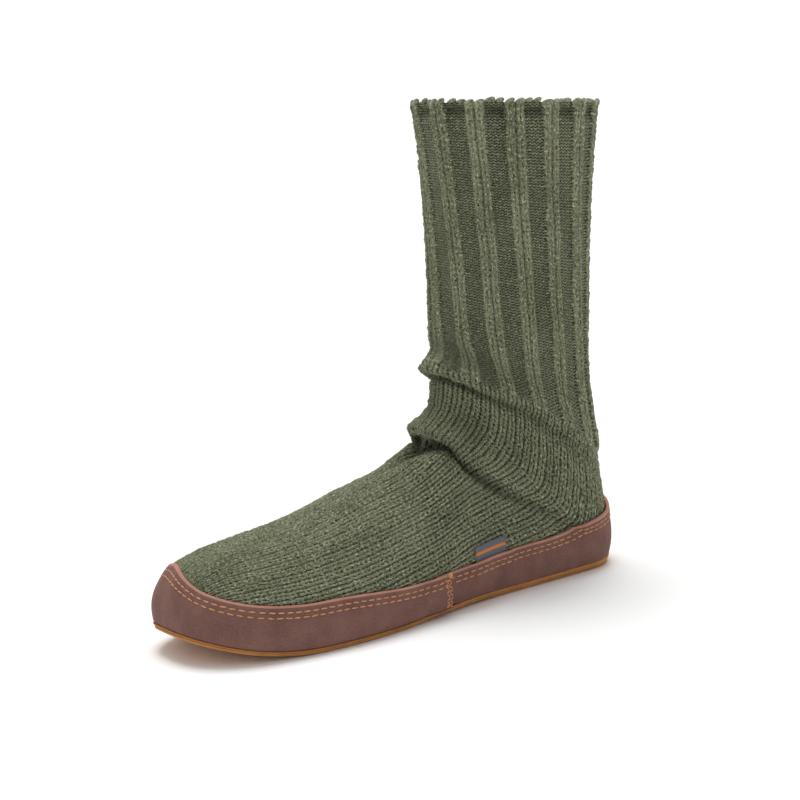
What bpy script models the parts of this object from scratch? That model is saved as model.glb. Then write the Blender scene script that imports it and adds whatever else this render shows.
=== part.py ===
"""Slipper sock for the left foot: a ribbed wool sock with a leather rand and a suede sole.

Metres, +Z up, toe toward -Y, outer (left) side toward +X. The origin lies on the floor
under the middle of the heel. The sock is a tube of closed sections. Each section lies in a
plane across the tube: upright along the foot, fanned round the heel, level in the shaft.
"""
import math

import bmesh
import bpy
import numpy as np
from mathutils import Vector
from mathutils.bvhtree import BVHTree

# Driving dimensions
LENGTH = 0.280            # sole, heel to toe
HEEL_BACK = 0.035         # sole behind the origin
BALL_WIDTH = 0.098        # sole at the ball
TOE_ROUND = 0.40          # radius of the toe, a share of the ball's width
TOE_SHIFT = -0.085        # middle of the toe, toward the inner side, same measure
HEEL_WIDTH = 0.072        # sole at the heel
INSTEP_HEIGHT = 0.098     # top of the foot where the ankle folds begin
HEIGHT = 0.262            # floor to the cuff's back
CUFF_RISE = 0.0130        # cuff's front above its back, square to the leaning shaft
SHAFT_DEPTH = 0.088       # front to back, where the shaft is narrowest
SHAFT_WIDTH = 0.078       # side to side, same place
CUFF_DEPTH = 0.107
CUFF_WIDTH = 0.090
ANKLE_CENTRE = -0.019     # middle of the shaft above the folds, along Y
CUFF_CENTRE = -0.011      # middle of the cuff, along Y
FRONT_START = 0.146       # height where the straight shaft begins, in front
BACK_START = 0.112        # and behind

WALL = 0.0026             # knitted wall
RIBS = 14                 # ribs round the shaft, each two wales proud and two sunk
RIB_RISE = 0.0016
WALES = 4 * RIBS

LEATHER = 0.0019          # rand
SKIVED = 0.0009           # rand's end, thinned where it is lapped
RAND_TOE_HEIGHT = 0.030
RAND_FRONT_HEIGHT = 0.0238
RAND_WAIST_HEIGHT = 0.0198
RAND_QUARTER_HEIGHT = 0.0242  # just ahead of the heel
RAND_HEEL_HEIGHT = 0.0300
SEAM_ALONG = 0.131        # cut edge of the front rand, from the back of the sole
LAP = 0.008               # length over which the two ends overlap
LAP_RAMP = 1.1            # the front rand comes down over this share of the lap
SKIVE_END = 0.0012        # the heel rand is thin this far before the cut edge

SOLE_THICKNESS = 0.0025
TOE_SPRING = 0.0135
ARCH_RISE = 0.0014
HEEL_ROUNDING = 0.0033
HEEL_FLAT_FROM = 0.06     # shares of LENGTH from the heel: the sole is flat between these
HEEL_FLAT_TO = 0.27
BALL_FLAT_FROM = 0.61     # and between these
BALL_FLAT_TO = 0.76
ARCH_CLIMB = 0.155        # over which it rises to the arch
EDGE_ROUNDING = 0.0006    # sole's edge turned up all round

FOOTBED = 0.006
FOOTBED_CUP = 0.003       # raised rim round the heel

TAG_WIDTH = 0.0225
TAG_SHOWN = 0.008         # above the rand
TAG_TUCK = 0.005          # behind the rand
TAG_THICKNESS = 0.0010
TAG_ALONG = 0.0995        # middle of the tab, from the back of the sole
TAG_ROOM = 1.1            # share of the tab's width over which the rand stands out
TAG_RAMP = 0.5            # and over which it comes back
TAG_LIFT_FROM = 0.35      # share of the rand's height where it begins to stand out
TAG_LIFT_OVER = 0.4

CLEARANCE = 0.0003        # between pieces that touch
WRAP_GAP = 0.0009         # between the wool and what is wrapped round it
FOOTBED_EASE = 0.0015     # between the footbed's edge and the knitted wall
FOOTBED_GAP = 0.0005      # under the footbed
FORM_DEPTH = 0.006        # the sock's form runs this far below the sole's upper face

MERGE = 0.000001          # points closer than this are one
CURVE_SAMPLES = 97        # points that measure half a section
BLOCK_STEPS = 48          # steps of the block that opens the sock underneath
BLOCK_MARGIN = 0.02       # by which that block stands out all round

HEEL_RADIUS = HEEL_WIDTH / 2
TOE_RADIUS = TOE_ROUND * BALL_WIDTH
SIDE_BUILD = LEATHER + WRAP_GAP

# Foot sections, toe to ankle. along: share of LENGTH from the heel, at the top and at the
# bottom. top: share of INSTEP_HEIGHT. drop: share of FORM_DEPTH below the sole. width, shift
# and lean: shares of BALL_WIDTH, shift toward the outer side, lean of the ridge toward the
# inner side. widest: share of the section's height. round: exponents of its upper and
# lower half. rings: mesh rings up to the next row.
FOOT_COLUMNS = ("top_along", "top", "bottom_along", "drop", "width", "shift", "lean",
                "widest", "round_top", "round_bottom", "rings")
FOOT_ROWS = (
    (0.9915, 0.200, 0.9915, 0.3, 0.060, -0.100, 0.00, 0.45, 2.0, 2.0, 1),
    (0.9865, 0.277, 0.9865, 0.7, 0.300, -0.095, 0.00, 0.42, 2.0, 2.4, 2),
    (0.9690, 0.405, 0.9690, 1.0, 0.530, -0.085, 0.01, 0.40, 2.0, 3.0, 2),
    (0.9350, 0.493, 0.9350, 1.0, 0.715, -0.068, 0.02, 0.38, 2.1, 3.4, 2),
    (0.8850, 0.536, 0.8850, 1.0, 0.860, -0.045, 0.04, 0.37, 2.2, 3.8, 2),
    (0.8000, 0.563, 0.8000, 1.0, 0.955, -0.020, 0.06, 0.36, 2.2, 4.0, 2),
    (0.6900, 0.614, 0.6900, 1.0, 0.970, 0.005, 0.06, 0.35, 2.2, 4.0, 2),
    (0.5800, 0.716, 0.5800, 1.0, 0.905, 0.020, 0.05, 0.35, 2.1, 4.0, 2),
    (0.4850, 0.795, 0.4900, 1.0, 0.830, 0.020, 0.04, 0.36, 2.0, 3.8, 1),
    (0.4050, 0.930, 0.4050, 1.0, 0.780, 0.012, 0.02, 0.37, 2.0, 3.6, 2),
)
# Heel sections. top: share of the way from the instep to the front of the shaft. bottom
# along: share of LENGTH. back: share of the height where the straight shaft begins behind,
# counted up from the form's lowest level. width: share of HEEL_WIDTH.
HEEL_ROWS = (
    (0.10, 0.3100, 0.000, 1.010, 0.38, 2.0, 3.6, 2),
    (0.20, 0.2050, 0.000, 0.995, 0.39, 2.0, 3.6, 2),
    (0.31, 0.1050, 0.000, 1.000, 0.40, 2.0, 3.4, 2),
    (0.42, 0.0400, 0.000, 1.010, 0.41, 2.0, 2.9, 2),
    (0.54, 0.0135, 0.140, 1.020, 0.42, 2.0, 2.5, 2),
    (0.66, 0.0085, 0.330, 1.030, 0.44, 2.0, 2.2, 2),
    (0.78, 0.0150, 0.560, 1.050, 0.46, 2.0, 2.0, 2),
    (0.89, 0.0250, 0.780, 1.080, 0.48, 2.0, 2.0, 1),
)
# Shaft sections. up: share of the way from the start of the straight shaft to the cuff.
# swell: share of the way from the narrowest shaft to the cuff's size.
SHAFT_ROWS = (
    (0.00, 0.00, 1),
    (0.25, 0.05, 1),
    (0.55, 0.25, 1),
    (0.82, 0.62, 1),
    (1.00, 1.00, 1),
)
# Folds of the slack ankle. place: row number of the section, at the front. turn: rows that
# the fold climbs round the leg. reach: share of the half girth. width: rows. rise: metres.
FOLD_COLUMNS = ("place", "turn", "width", "rise", "reach")
FOLD_ROWS = (
    (8.9, 4.2, 0.45, -0.0040, 0.62),
    (10.0, 3.8, 0.75, 0.0058, 0.56),
    (12.8, 1.6, 1.00, -0.0015, 0.60),
    (15.2, 0.3, 0.55, 0.0048, 0.90),
)
RIB_END_ROW = 15.6        # the ribs begin at this section
RIB_FADE = 0.5            # rows over which they rise

# Rand height along the side: share of LENGTH from the heel, named height
RAND_ROWS = (
    (0.00, RAND_HEEL_HEIGHT),
    (0.24, RAND_QUARTER_HEIGHT),
    (0.50, RAND_WAIST_HEIGHT),
    (0.74, RAND_FRONT_HEIGHT),
)
# Rand height round the toe: quarter turns from the outer side, named height
RAND_TOE_ROWS = (
    (0.00, RAND_FRONT_HEIGHT),
    (0.50, RAND_FRONT_HEIGHT),
    (1.30, RAND_TOE_HEIGHT),
    (1.55, RAND_TOE_HEIGHT),
    (2.00, RAND_FRONT_HEIGHT),
)


def ease(share):
    """Smooth step from 0 to 1."""
    share = np.clip(share, 0.0, 1.0)
    return share * share * (3.0 - 2.0 * share)


def along_to_y(along):
    return HEEL_BACK - along * LENGTH


def sole_bottom(y):
    """Height of the sole's lower face: flat under heel and ball, arch, toe spring."""
    along = (HEEL_BACK - y) / LENGTH
    heel = HEEL_ROUNDING * (1.0 - ease(along / HEEL_FLAT_FROM)) ** 2
    arch = ARCH_RISE * ease((along - HEEL_FLAT_TO) / ARCH_CLIMB)
    arch *= ease((BALL_FLAT_FROM - along) / ARCH_CLIMB)
    spring = TOE_SPRING * np.maximum((along - BALL_FLAT_TO) / (1.0 - BALL_FLAT_TO), 0.0) ** 2
    return heel + arch + spring


def sole_top(y):
    return sole_bottom(y) + SOLE_THICKNESS


def section_table():
    """All sections as rows: top y, top z, bottom y, bottom z, half width, shift, lean,
    widest, upper exponent, lower exponent. Also the mesh rings to the next row."""
    rows = []
    rings = []
    for values in FOOT_ROWS:
        row = dict(zip(FOOT_COLUMNS, values))
        bottom_y = along_to_y(row["bottom_along"])
        rows.append((
            along_to_y(row["top_along"]), row["top"] * INSTEP_HEIGHT,
            bottom_y, sole_top(bottom_y) - row["drop"] * FORM_DEPTH,
            0.5 * row["width"] * (BALL_WIDTH - 2 * SIDE_BUILD),
            row["shift"] * BALL_WIDTH, row["lean"] * BALL_WIDTH,
            row["widest"], row["round_top"], row["round_bottom"]))
        rings.append(row["rings"])
    instep_y, instep_z = rows[-1][:2]
    front_y = ANKLE_CENTRE - SHAFT_DEPTH / 2
    floor = SOLE_THICKNESS - FORM_DEPTH
    for top, along, back, width, widest, upper, lower, count in HEEL_ROWS:
        rows.append((
            instep_y + top * (front_y - instep_y), instep_z + top * (FRONT_START - instep_z),
            along_to_y(along), floor + back * (BACK_START - floor),
            0.5 * width * (HEEL_WIDTH - 2 * SIDE_BUILD), 0.0, 0.0, widest, upper, lower))
        rings.append(count)
    for up, swell, count in SHAFT_ROWS:
        centre = ANKLE_CENTRE + up * (CUFF_CENTRE - ANKLE_CENTRE)
        half = 0.5 * (SHAFT_DEPTH + swell * (CUFF_DEPTH - SHAFT_DEPTH))
        rows.append((
            centre - half, FRONT_START + up * (HEIGHT + CUFF_RISE - FRONT_START),
            centre + half, BACK_START + up * (HEIGHT - BACK_START),
            0.5 * (SHAFT_WIDTH + swell * (CUFF_WIDTH - SHAFT_WIDTH)),
            0.0, 0.0, 0.5, 2.0, 2.0))
        rings.append(count)
    return np.array(rows), rings


SECTIONS, RINGS = section_table()


def through_rows(place):
    """Smooth curve through the section table at row number `place`."""
    last = len(SECTIONS) - 1
    start = min(int(place), last - 1)
    part = place - start
    here, after = SECTIONS[start], SECTIONS[start + 1]
    before = SECTIONS[start - 1] if start > 0 else 2 * here - after
    beyond = SECTIONS[start + 2] if start + 2 <= last else 2 * after - here
    leave, arrive = (after - before) / 2, (beyond - here) / 2
    return ((2 * part**3 - 3 * part**2 + 1) * here + (part**3 - 2 * part**2 + part) * leave
            + (3 * part**2 - 2 * part**3) * after + (part**3 - part**2) * arrive)


def half_section(place, side, shares):
    """Points of one half of a section, from its top (share 0) to its bottom (share 1),
    evenly spaced along the curve. side is 1 for the outer half, -1 for the inner."""
    top_y, top_z, low_y, low_z, half, shift, lean, widest, upper, lower = through_rows(place)
    angle = np.linspace(0.0, math.pi, CURVE_SAMPLES)
    sine, cosine = np.abs(np.sin(angle)), np.abs(np.cos(angle))
    above = angle <= math.pi / 2
    power = np.where(above, 2.0 / upper, 2.0 / lower)
    reach = np.where(above, 1.0 - widest, -widest)
    height = widest + reach * cosine**power
    across = side * half * sine**power + shift - lean * ease(height)
    y = low_y + height * (top_y - low_y)
    z = low_z + height * (top_z - low_z)
    points = np.stack([across, y, z], axis=1)
    steps = np.linalg.norm(np.diff(points, axis=0), axis=1)
    length = np.concatenate([[0.0], np.cumsum(steps)])
    wanted = np.asarray(shares) * length[-1]
    return np.stack([np.interp(wanted, length, points[:, axis]) for axis in range(3)], axis=1)


def form_grid(places, columns):
    """Points of the sock's form, one ring per place and one point per column. Columns
    start at the top or front and run round by the outer side."""
    half = columns // 2
    shares = np.arange(half + 1) / half
    rings = []
    for place in places:
        outer = half_section(place, 1, shares)
        inner = half_section(place, -1, shares)
        rings.append(np.concatenate([outer, inner[-2:0:-1]]))
    return np.array(rings)


def grid_normals(grid):
    """Outward unit normals of a grid of rings."""
    round_way = np.roll(grid, -1, axis=1) - np.roll(grid, 1, axis=1)
    long_way = np.gradient(grid, axis=0)
    normals = np.cross(round_way, long_way)
    return normals / np.maximum(np.linalg.norm(normals, axis=2, keepdims=True), 1e-12)


def fold_height(places, columns):
    """Outward rise of the ankle's folds at each ring and column."""
    round_share = np.abs(np.arange(columns) / columns * 2.0)
    round_share = np.minimum(round_share, 2.0 - round_share)
    rise = np.zeros((len(places), columns))
    for values in FOLD_ROWS:
        fold = dict(zip(FOLD_COLUMNS, values))
        centre = fold["place"] + fold["turn"] * round_share
        off = (np.array(places)[:, None] - centre[None, :]) / fold["width"]
        fade = 1.0 - ease(round_share / fold["reach"])
        rise += fold["rise"] * np.exp(-off * off) * fade
    return rise


def rib_height(places, columns):
    """Rise of the ribs: two wales proud, two level."""
    wale = (np.arange(columns) * WALES // columns + 1) % 4
    proud = (wale < 2).astype(float)
    grow = ease((np.array(places) - RIB_END_ROW) / RIB_FADE)
    return RIB_RISE * grow[:, None] * proud[None, :]


def ring_places():
    places = []
    for row, count in enumerate(RINGS[:-1]):
        places += [row + step / count for step in range(count)]
    return places + [float(len(SECTIONS) - 1)]


def new_mesh_object(name, bm):
    bmesh.ops.recalc_face_normals(bm, faces=bm.faces)
    mesh = bpy.data.meshes.new(name)
    bm.to_mesh(mesh)
    bm.free()
    mesh.shade_smooth()
    mesh.set_sharp_from_angle(angle=math.radians(35))
    body = bpy.data.objects.new(name, mesh)
    bpy.context.scene.collection.objects.link(body)
    return body


def add_ring(bm, points):
    return [bm.verts.new(point) for point in points]


def join_rings(bm, first, second, closed=True):
    count = len(first)
    for i in range(count if closed else count - 1):
        j = (i + 1) % count
        bm.faces.new((first[i], first[j], second[j], second[i]))


def join_rim(bm, fine, coarse):
    """Faces between a ring and one with half as many points."""
    count = len(fine)
    for i, low in enumerate(coarse):
        low_after = coarse[(i + 1) % len(coarse)]
        start, middle, end = fine[2 * i], fine[2 * i + 1], fine[(2 * i + 2) % count]
        bm.faces.new((start, middle, low))
        bm.faces.new((middle, end, low_after, low))


def material(name, colour, roughness):
    surface = bpy.data.materials.new(name)
    surface.use_nodes = True
    shader = surface.node_tree.nodes["Principled BSDF"]
    shader.inputs["Base Color"].default_value = (*colour, 1.0)
    shader.inputs["Roughness"].default_value = roughness
    shader.inputs["Metallic"].default_value = 0.0
    return surface


PLACES = ring_places()
FORM = form_grid(PLACES, WALES)
OUTWARD = grid_normals(FORM)
FOLDED = FORM + OUTWARD * fold_height(PLACES, WALES)[:, :, None]
FIRST_INSIDE = 3          # the wall closes the toe ahead of this ring
INSIDE = (FOLDED - OUTWARD * WALL)[FIRST_INSIDE:, ::2]


def tube_surface(grid):
    """Ray target of a grid of rings."""
    rings, columns = grid.shape[:2]
    points = [Vector(point) for ring in grid for point in ring]
    quads = [tuple(range(columns))]
    for ring in range(rings - 1):
        for column in range(columns):
            after = (column + 1) % columns
            quads.append((ring * columns + column, ring * columns + after,
                          (ring + 1) * columns + after, (ring + 1) * columns + column))
    return BVHTree.FromPolygons(points, quads)


OUTER_SURFACE = tube_surface(FOLDED)
INNER_SURFACE = tube_surface(INSIDE)

# The spine runs under the foot from the heel's centre to the toe's. Rays from it reach the
# sides: a fan round the heel, level rays along the side and a fan round the toe.
TOE_CENTRE = Vector((TOE_SHIFT * BALL_WIDTH, HEEL_BACK - LENGTH + TOE_RADIUS, 0.0))
SPINE = TOE_CENTRE.length
EDGE_TRAVEL = HEEL_RADIUS * math.pi / 2 + SPINE + TOE_RADIUS * math.pi / 2
HEEL_SHARE = HEEL_RADIUS * math.pi / 2 / EDGE_TRAVEL
TOE_SHARE = 1.0 - TOE_RADIUS * math.pi / 2 / EDGE_TRAVEL


def side_ray(place):
    """Origin on the spine and direction of the ray at a place round the edge: 0 at the
    back of the heel, 1 at the toe along the outer side, -1 at the toe along the inner."""
    side = 1.0 if place >= 0 else -1.0
    share = abs(place)
    toward_toe = TOE_CENTRE.normalized()
    sideways = Vector((-toward_toe.y, toward_toe.x, 0.0)) * side
    if share < HEEL_SHARE:
        angle = share / HEEL_SHARE * math.pi / 2
        return Vector((0, 0, 0)), -toward_toe * math.cos(angle) + sideways * math.sin(angle)
    if share < TOE_SHARE:
        travel = (share - HEEL_SHARE) / (TOE_SHARE - HEEL_SHARE)
        return TOE_CENTRE * travel, sideways
    angle = (share - TOE_SHARE) / (1.0 - TOE_SHARE) * math.pi / 2
    return TOE_CENTRE.copy(), toward_toe * math.sin(angle) + sideways * math.cos(angle)


def side_place(distance):
    """Place round the edge of a distance from the back of the sole, on the side."""
    travel = (distance - HEEL_BACK) / SPINE
    return HEEL_SHARE + travel * (TOE_SHARE - HEEL_SHARE)


def side_point(surface, place, height):
    """Where the ray at a place and height meets a surface of the sock."""
    origin, direction = side_ray(place)
    origin.z = height
    hit = surface.ray_cast(origin, direction)[0]
    return np.array(hit)


def edge_loop(count):
    """Places evenly spaced all round the edge."""
    return [2.0 * step / count - 1.0 for step in range(count)]


def row_height(rows, share):
    """Height at a share, on smooth steps through rows of share and height."""
    for (start, low), (end, high) in zip(rows, rows[1:]):
        if share <= end:
            return float(low + (high - low) * ease((share - start) / (end - start)))
    return rows[-1][1]


def rand_height(place):
    if abs(place) > TOE_SHARE:
        turn = (abs(place) - TOE_SHARE) / (1.0 - TOE_SHARE)
        return row_height(RAND_TOE_ROWS, turn if place > 0 else 2.0 - turn)
    along = (HEEL_BACK - side_ray(place)[0].y) / LENGTH
    return row_height(RAND_ROWS, along * min(abs(place) / HEEL_SHARE, 1.0))


def sole_edge(place):
    """Point of the sole's upper edge: flush with the rand, all round."""
    direction = np.array(side_ray(place)[1])
    height = SOLE_THICKNESS + CLEARANCE
    for _ in range(3):
        point = side_point(OUTER_SURFACE, place, height) + direction * SIDE_BUILD
        height = float(sole_top(point[1])) + CLEARANCE
    point[2] = height - CLEARANCE
    return point


def foot_height(place):
    """Height of the sole's upper face, at the place, where the side stands on it."""
    return sole_edge(place)[2]


def band(places, shares):
    """Points on the sock's side, from the sole (share 0) up to the rand's edge (share 1),
    and the outward step that lies one unit off the surface. It is level at the sole."""
    grid = []
    for place in places:
        floor = foot_height(place) + CLEARANCE
        height = rand_height(place)
        grid.append([side_point(OUTER_SURFACE, place, floor + share * height)
                     for share in shares])
    grid = np.array(grid)
    long_way = np.gradient(grid, axis=0)
    up_way = np.gradient(grid, axis=1)
    normals = np.cross(long_way, up_way)
    normals /= np.linalg.norm(normals, axis=2, keepdims=True)
    outward = np.array([np.array(side_ray(place)[1]) for place in places])
    sign = np.sign(np.einsum("ijk,ik->ij", normals, outward))
    normals *= sign[:, :, None]
    level = normals.copy()
    level[:, :, 2] *= ease((np.array(shares) - LEVEL_UNTIL) / LEVEL_FADE)
    return grid, level / np.sum(level * normals, axis=2, keepdims=True)


def strip_solid(name, grid, normals, near, far):
    """Closed strip between two offsets of a band. near and far hold metres per point."""
    bm = bmesh.new()
    inner = [add_ring(bm, row) for row in grid + normals * near[:, :, None]]
    outer = [add_ring(bm, row) for row in grid + normals * far[:, :, None]]
    loops = [low + high[::-1] for low, high in zip(inner, outer)]
    for first, second in zip(loops, loops[1:]):
        join_rings(bm, first, second)
    for low, high in ((inner[0], outer[0]), (inner[-1], outer[-1])):
        for i in range(len(low) - 1):
            bm.faces.new((low[i], low[i + 1], high[i + 1], high[i]))
    return new_mesh_object(name, bm)


def make_upper():
    """One knitted wall: outer rings, over the cuff's edge and back down inside, with both
    ends closed at the toe. The sole's block then opens it underneath."""
    bm = bmesh.new()
    ribbed = FOLDED + OUTWARD * rib_height(PLACES, WALES)[:, :, None]
    outer = [add_ring(bm, ring) for ring in ribbed]
    inner = [add_ring(bm, ring) for ring in INSIDE]
    for rings in (outer, inner):
        bm.faces.new(rings[0])
        for first, second in zip(rings, rings[1:]):
            join_rings(bm, first, second)
    join_rim(bm, outer[-1], inner[-1])
    upper = new_mesh_object("upper", bm)
    block = sole_block()
    cut = upper.modifiers.new("open underneath", "BOOLEAN")
    cut.operation = "DIFFERENCE"
    cut.object = block
    cut.solver = "EXACT"
    return upper


def sole_block():
    """Cutter whose upper face follows the sole, one clearance above it."""
    bm = bmesh.new()
    bmesh.ops.create_grid(bm, x_segments=1, y_segments=BLOCK_STEPS, size=1.0)
    for vert in bm.verts:
        share = (vert.co.y + 1.0) / 2.0
        y = HEEL_BACK + BLOCK_MARGIN - share * (LENGTH + 2 * BLOCK_MARGIN)
        vert.co = (vert.co.x * BALL_WIDTH, y, sole_top(y) + CLEARANCE)
    lower = bmesh.ops.extrude_face_region(bm, geom=bm.faces[:])["geom"]
    for item in lower:
        if isinstance(item, bmesh.types.BMVert):
            item.co.z = -BLOCK_MARGIN
    block = new_mesh_object("sole_block", bm)
    block.hide_render = True
    block.display_type = "WIRE"
    return block


# Heights of the rand's mesh rows, and where its offset stops being level
LEVEL_UNTIL = 0.05
LEVEL_FADE = 0.3
NEAREST = 0.4             # rings closer than this share of a step are left out
FRONT_RINGS = 36
HEEL_RINGS = 62
TAG_COLUMNS = 7
TAG_ROWS = 6
RAND_SHARES = (0.0, 0.08, 0.18, 0.32, 0.52, 0.76, 1.0)


def lap_share(place):
    """0 along the rand, 1 where the front rand lies over the heel rand."""
    lapped = side_place(SEAM_ALONG + LAP_RAMP * LAP)
    level = side_place(SEAM_ALONG + 2 * LAP_RAMP * LAP)
    return 1.0 - float(ease((abs(place) - lapped) / (level - lapped)))


def span_places(start, end, count, extra):
    """Places from start to end, evenly spaced, with the extra ones among them."""
    places = np.linspace(start, end, count)
    step = (end - start) / (count - 1)
    kept = [place for place in places[1:-1]
            if min(abs(place - other) for other in extra) > NEAREST * step]
    return sorted([start, end] + kept + [place for place in extra if start < place < end])


def make_rand_front():
    """Front rand, from seam to seam round the toe. Its ends lie over the heel rand's."""
    seam = side_place(SEAM_ALONG)
    lapped = side_place(SEAM_ALONG + LAP_RAMP * LAP)
    level = side_place(SEAM_ALONG + 2 * LAP_RAMP * LAP)
    half = span_places(seam, 1.0, FRONT_RINGS, [lapped, level])
    places = half + [-place for place in half[-2::-1]]
    grid, normals = band(places, RAND_SHARES)
    lift = np.array([lap_share(place) for place in places])[:, None] * (SKIVED + CLEARANCE)
    near = WRAP_GAP + lift + np.zeros(grid.shape[:2])
    return strip_solid("rand_front", grid, normals, near, near + LEATHER)


def tag_share(place):
    """0 away from the tab, 1 over it."""
    centre = side_place(TAG_ALONG)
    clear = side_place(TAG_ALONG + TAG_ROOM * TAG_WIDTH / 2) - centre
    flat = side_place(TAG_ALONG + (TAG_ROOM + TAG_RAMP) * TAG_WIDTH / 2) - centre
    return 1.0 - float(ease((abs(place - centre) - clear) / (flat - clear)))


def make_rand_heel():
    """Heel rand, from seam to seam round the heel, its ends skived and run under the front
    rand. It stands out over the tab that is caught behind its upper edge."""
    end = side_place(SEAM_ALONG + LAP)
    thin_from = side_place(SEAM_ALONG - LAP)
    thin_to = side_place(SEAM_ALONG - SKIVE_END)
    room = TAG_ROOM * TAG_WIDTH / 2
    ramp = (TAG_ROOM + TAG_RAMP) * TAG_WIDTH / 2
    extra = [side_place(TAG_ALONG + reach) for reach in (-ramp, -room, 0.0, room, ramp)]
    extra += [thin_from, thin_to, -thin_from, -thin_to]
    places = span_places(-end, end, HEEL_RINGS, extra)
    grid, normals = band(places, RAND_SHARES)
    over_tag = np.array([tag_share(place) for place in places])[:, None]
    upward = ease((np.array(RAND_SHARES) - TAG_LIFT_FROM) / TAG_LIFT_OVER)[None, :]
    near = WRAP_GAP + over_tag * upward * (TAG_THICKNESS + CLEARANCE)
    thin = np.array([float(ease((abs(place) - thin_from) / (thin_to - thin_from)))
                     for place in places])[:, None]
    far = near + LEATHER - thin * (LEATHER - SKIVED)
    return strip_solid("rand_heel", grid, normals, near, far)


def make_tag():
    """Folded tab between sock and rand, standing above the rand's edge."""
    centre = side_place(TAG_ALONG)
    half = side_place(TAG_ALONG + TAG_WIDTH / 2) - centre
    places = list(np.linspace(centre - half, centre + half, TAG_COLUMNS))
    top = rand_height(centre)
    shares = np.linspace(top - TAG_TUCK, top + TAG_SHOWN, TAG_ROWS) / top
    grid, normals = band(places, shares)
    near = WRAP_GAP + np.zeros(grid.shape[:2])
    return strip_solid("tag", grid, normals, near, near + TAG_THICKNESS)


def plate(name, lower_edge, upper_edge, lower_height, upper_height, loops):
    """Closed plate inside an edge. Each edge holds a point per place, and the heights are
    functions of a plan point and its share of the way out from the spine."""
    bm = bmesh.new()
    count = len(lower_edge)
    places = edge_loop(count)
    origins = [np.array(side_ray(place)[0]) for place in places]

    def face(edge, height):
        rings = []
        for loop in loops:
            ring = []
            for origin, point in zip(origins, edge):
                x = origin[0] + loop * (point[0] - origin[0])
                y = origin[1] + loop * (point[1] - origin[1])
                ring.append(bm.verts.new((x, y, height(x, y, loop))))
            rings.append(ring)
        for first, second in zip(rings, rings[1:]):
            join_rings(bm, first, second)
        return rings

    low = face(lower_edge, lower_height)
    high = face(upper_edge, upper_height)
    join_rings(bm, low[0], high[0])
    for ring in (low[-1], high[-1]):
        bmesh.ops.remove_doubles(bm, verts=ring, dist=MERGE)
    return new_mesh_object(name, bm)


# Points round sole and footbed, and their loops: shares of the way out from the spine
SOLE_POINTS = 72
SOLE_LOOPS = (1.0, 0.96, 0.85, 0.6, 0.3, 0.0)
EDGE_FROM = 0.90          # the sole's edge turns up from this share
FOOTBED_POINTS = 60
FOOTBED_LOOPS = (1.0, 0.85, 0.6, 0.3, 0.0)
CUP_FROM = 0.5            # the footbed's rim rises from this share
CUP_FRONT = -0.10         # where the rim begins, along Y
CUP_FADE = 0.08


def make_outsole():
    """Suede sole, its edge flush with the rand and turned up all round."""
    places = edge_loop(SOLE_POINTS)
    edge = [sole_edge(place) for place in places]

    def lower(x, y, loop):
        turned = EDGE_ROUNDING * ease((loop - EDGE_FROM) / (1.0 - EDGE_FROM))
        return float(sole_bottom(y) + turned)

    def upper(x, y, loop):
        return float(sole_top(y))

    return plate("outsole", edge, edge, lower, upper, SOLE_LOOPS)


def make_insole():
    """Foam footbed inside the sock, cupped round the heel."""
    places = edge_loop(FOOTBED_POINTS)
    low_edge = []
    high_edge = []

    def cup(y, loop):
        out = ease((loop - CUP_FROM) / (1.0 - CUP_FROM))
        return FOOTBED_CUP * out * ease((y - CUP_FRONT) / CUP_FADE)

    for place in places:
        direction = np.array(side_ray(place)[1])
        floor = foot_height(place) + CLEARANCE
        low_edge.append(side_point(INNER_SURFACE, place, floor) - direction * FOOTBED_EASE)
        guess = side_point(INNER_SURFACE, place, floor + FOOTBED)
        rim = floor + FOOTBED + cup(guess[1], 1.0)
        high_edge.append(side_point(INNER_SURFACE, place, rim) - direction * FOOTBED_EASE)

    def lower(x, y, loop):
        return float(sole_top(y)) + FOOTBED_GAP

    def upper(x, y, loop):
        return float(sole_top(y) + FOOTBED_GAP + FOOTBED + cup(y, loop))

    return plate("insole", low_edge, high_edge, lower, upper, FOOTBED_LOOPS)


def main():
    for item in list(bpy.data.objects):
        bpy.data.objects.remove(item, do_unlink=True)
    wool = material("ragg wool knit", (0.100, 0.108, 0.066), 0.95)
    nubuck = material("brown nubuck", (0.110, 0.062, 0.052), 0.75)
    suede = material("tan suede", (0.400, 0.150, 0.045), 0.9)
    foam = material("felted footbed", (0.150, 0.150, 0.110), 0.9)
    tape = material("grey woven tape", (0.140, 0.145, 0.170), 0.8)
    for body, surface in (
            (make_upper(), wool),
            (make_rand_front(), nubuck),
            (make_rand_heel(), nubuck),
            (make_outsole(), suede),
            (make_insole(), foam),
            (make_tag(), tape)):
        body.data.materials.append(surface)


main()
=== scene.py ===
# %% [markdown]
# # A wool slipper sock, left foot
# The real thing is a tube of chunky wool, knitted in a two-by-two rib at the leg and plain
# at the foot, with a leather rand sewn round the foot and a suede sole under it. The
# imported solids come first, as a fixed frame. Every piece below stands for one of them or
# is sewn to one, so all sizes are metres in that frame: +Z up, toe toward -Y, the outer
# side toward +X.

# %% Load the frame
import math

import bmesh
import bpy
import numpy as np
from mathutils import Matrix, Vector
from mathutils.bvhtree import BVHTree


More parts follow.
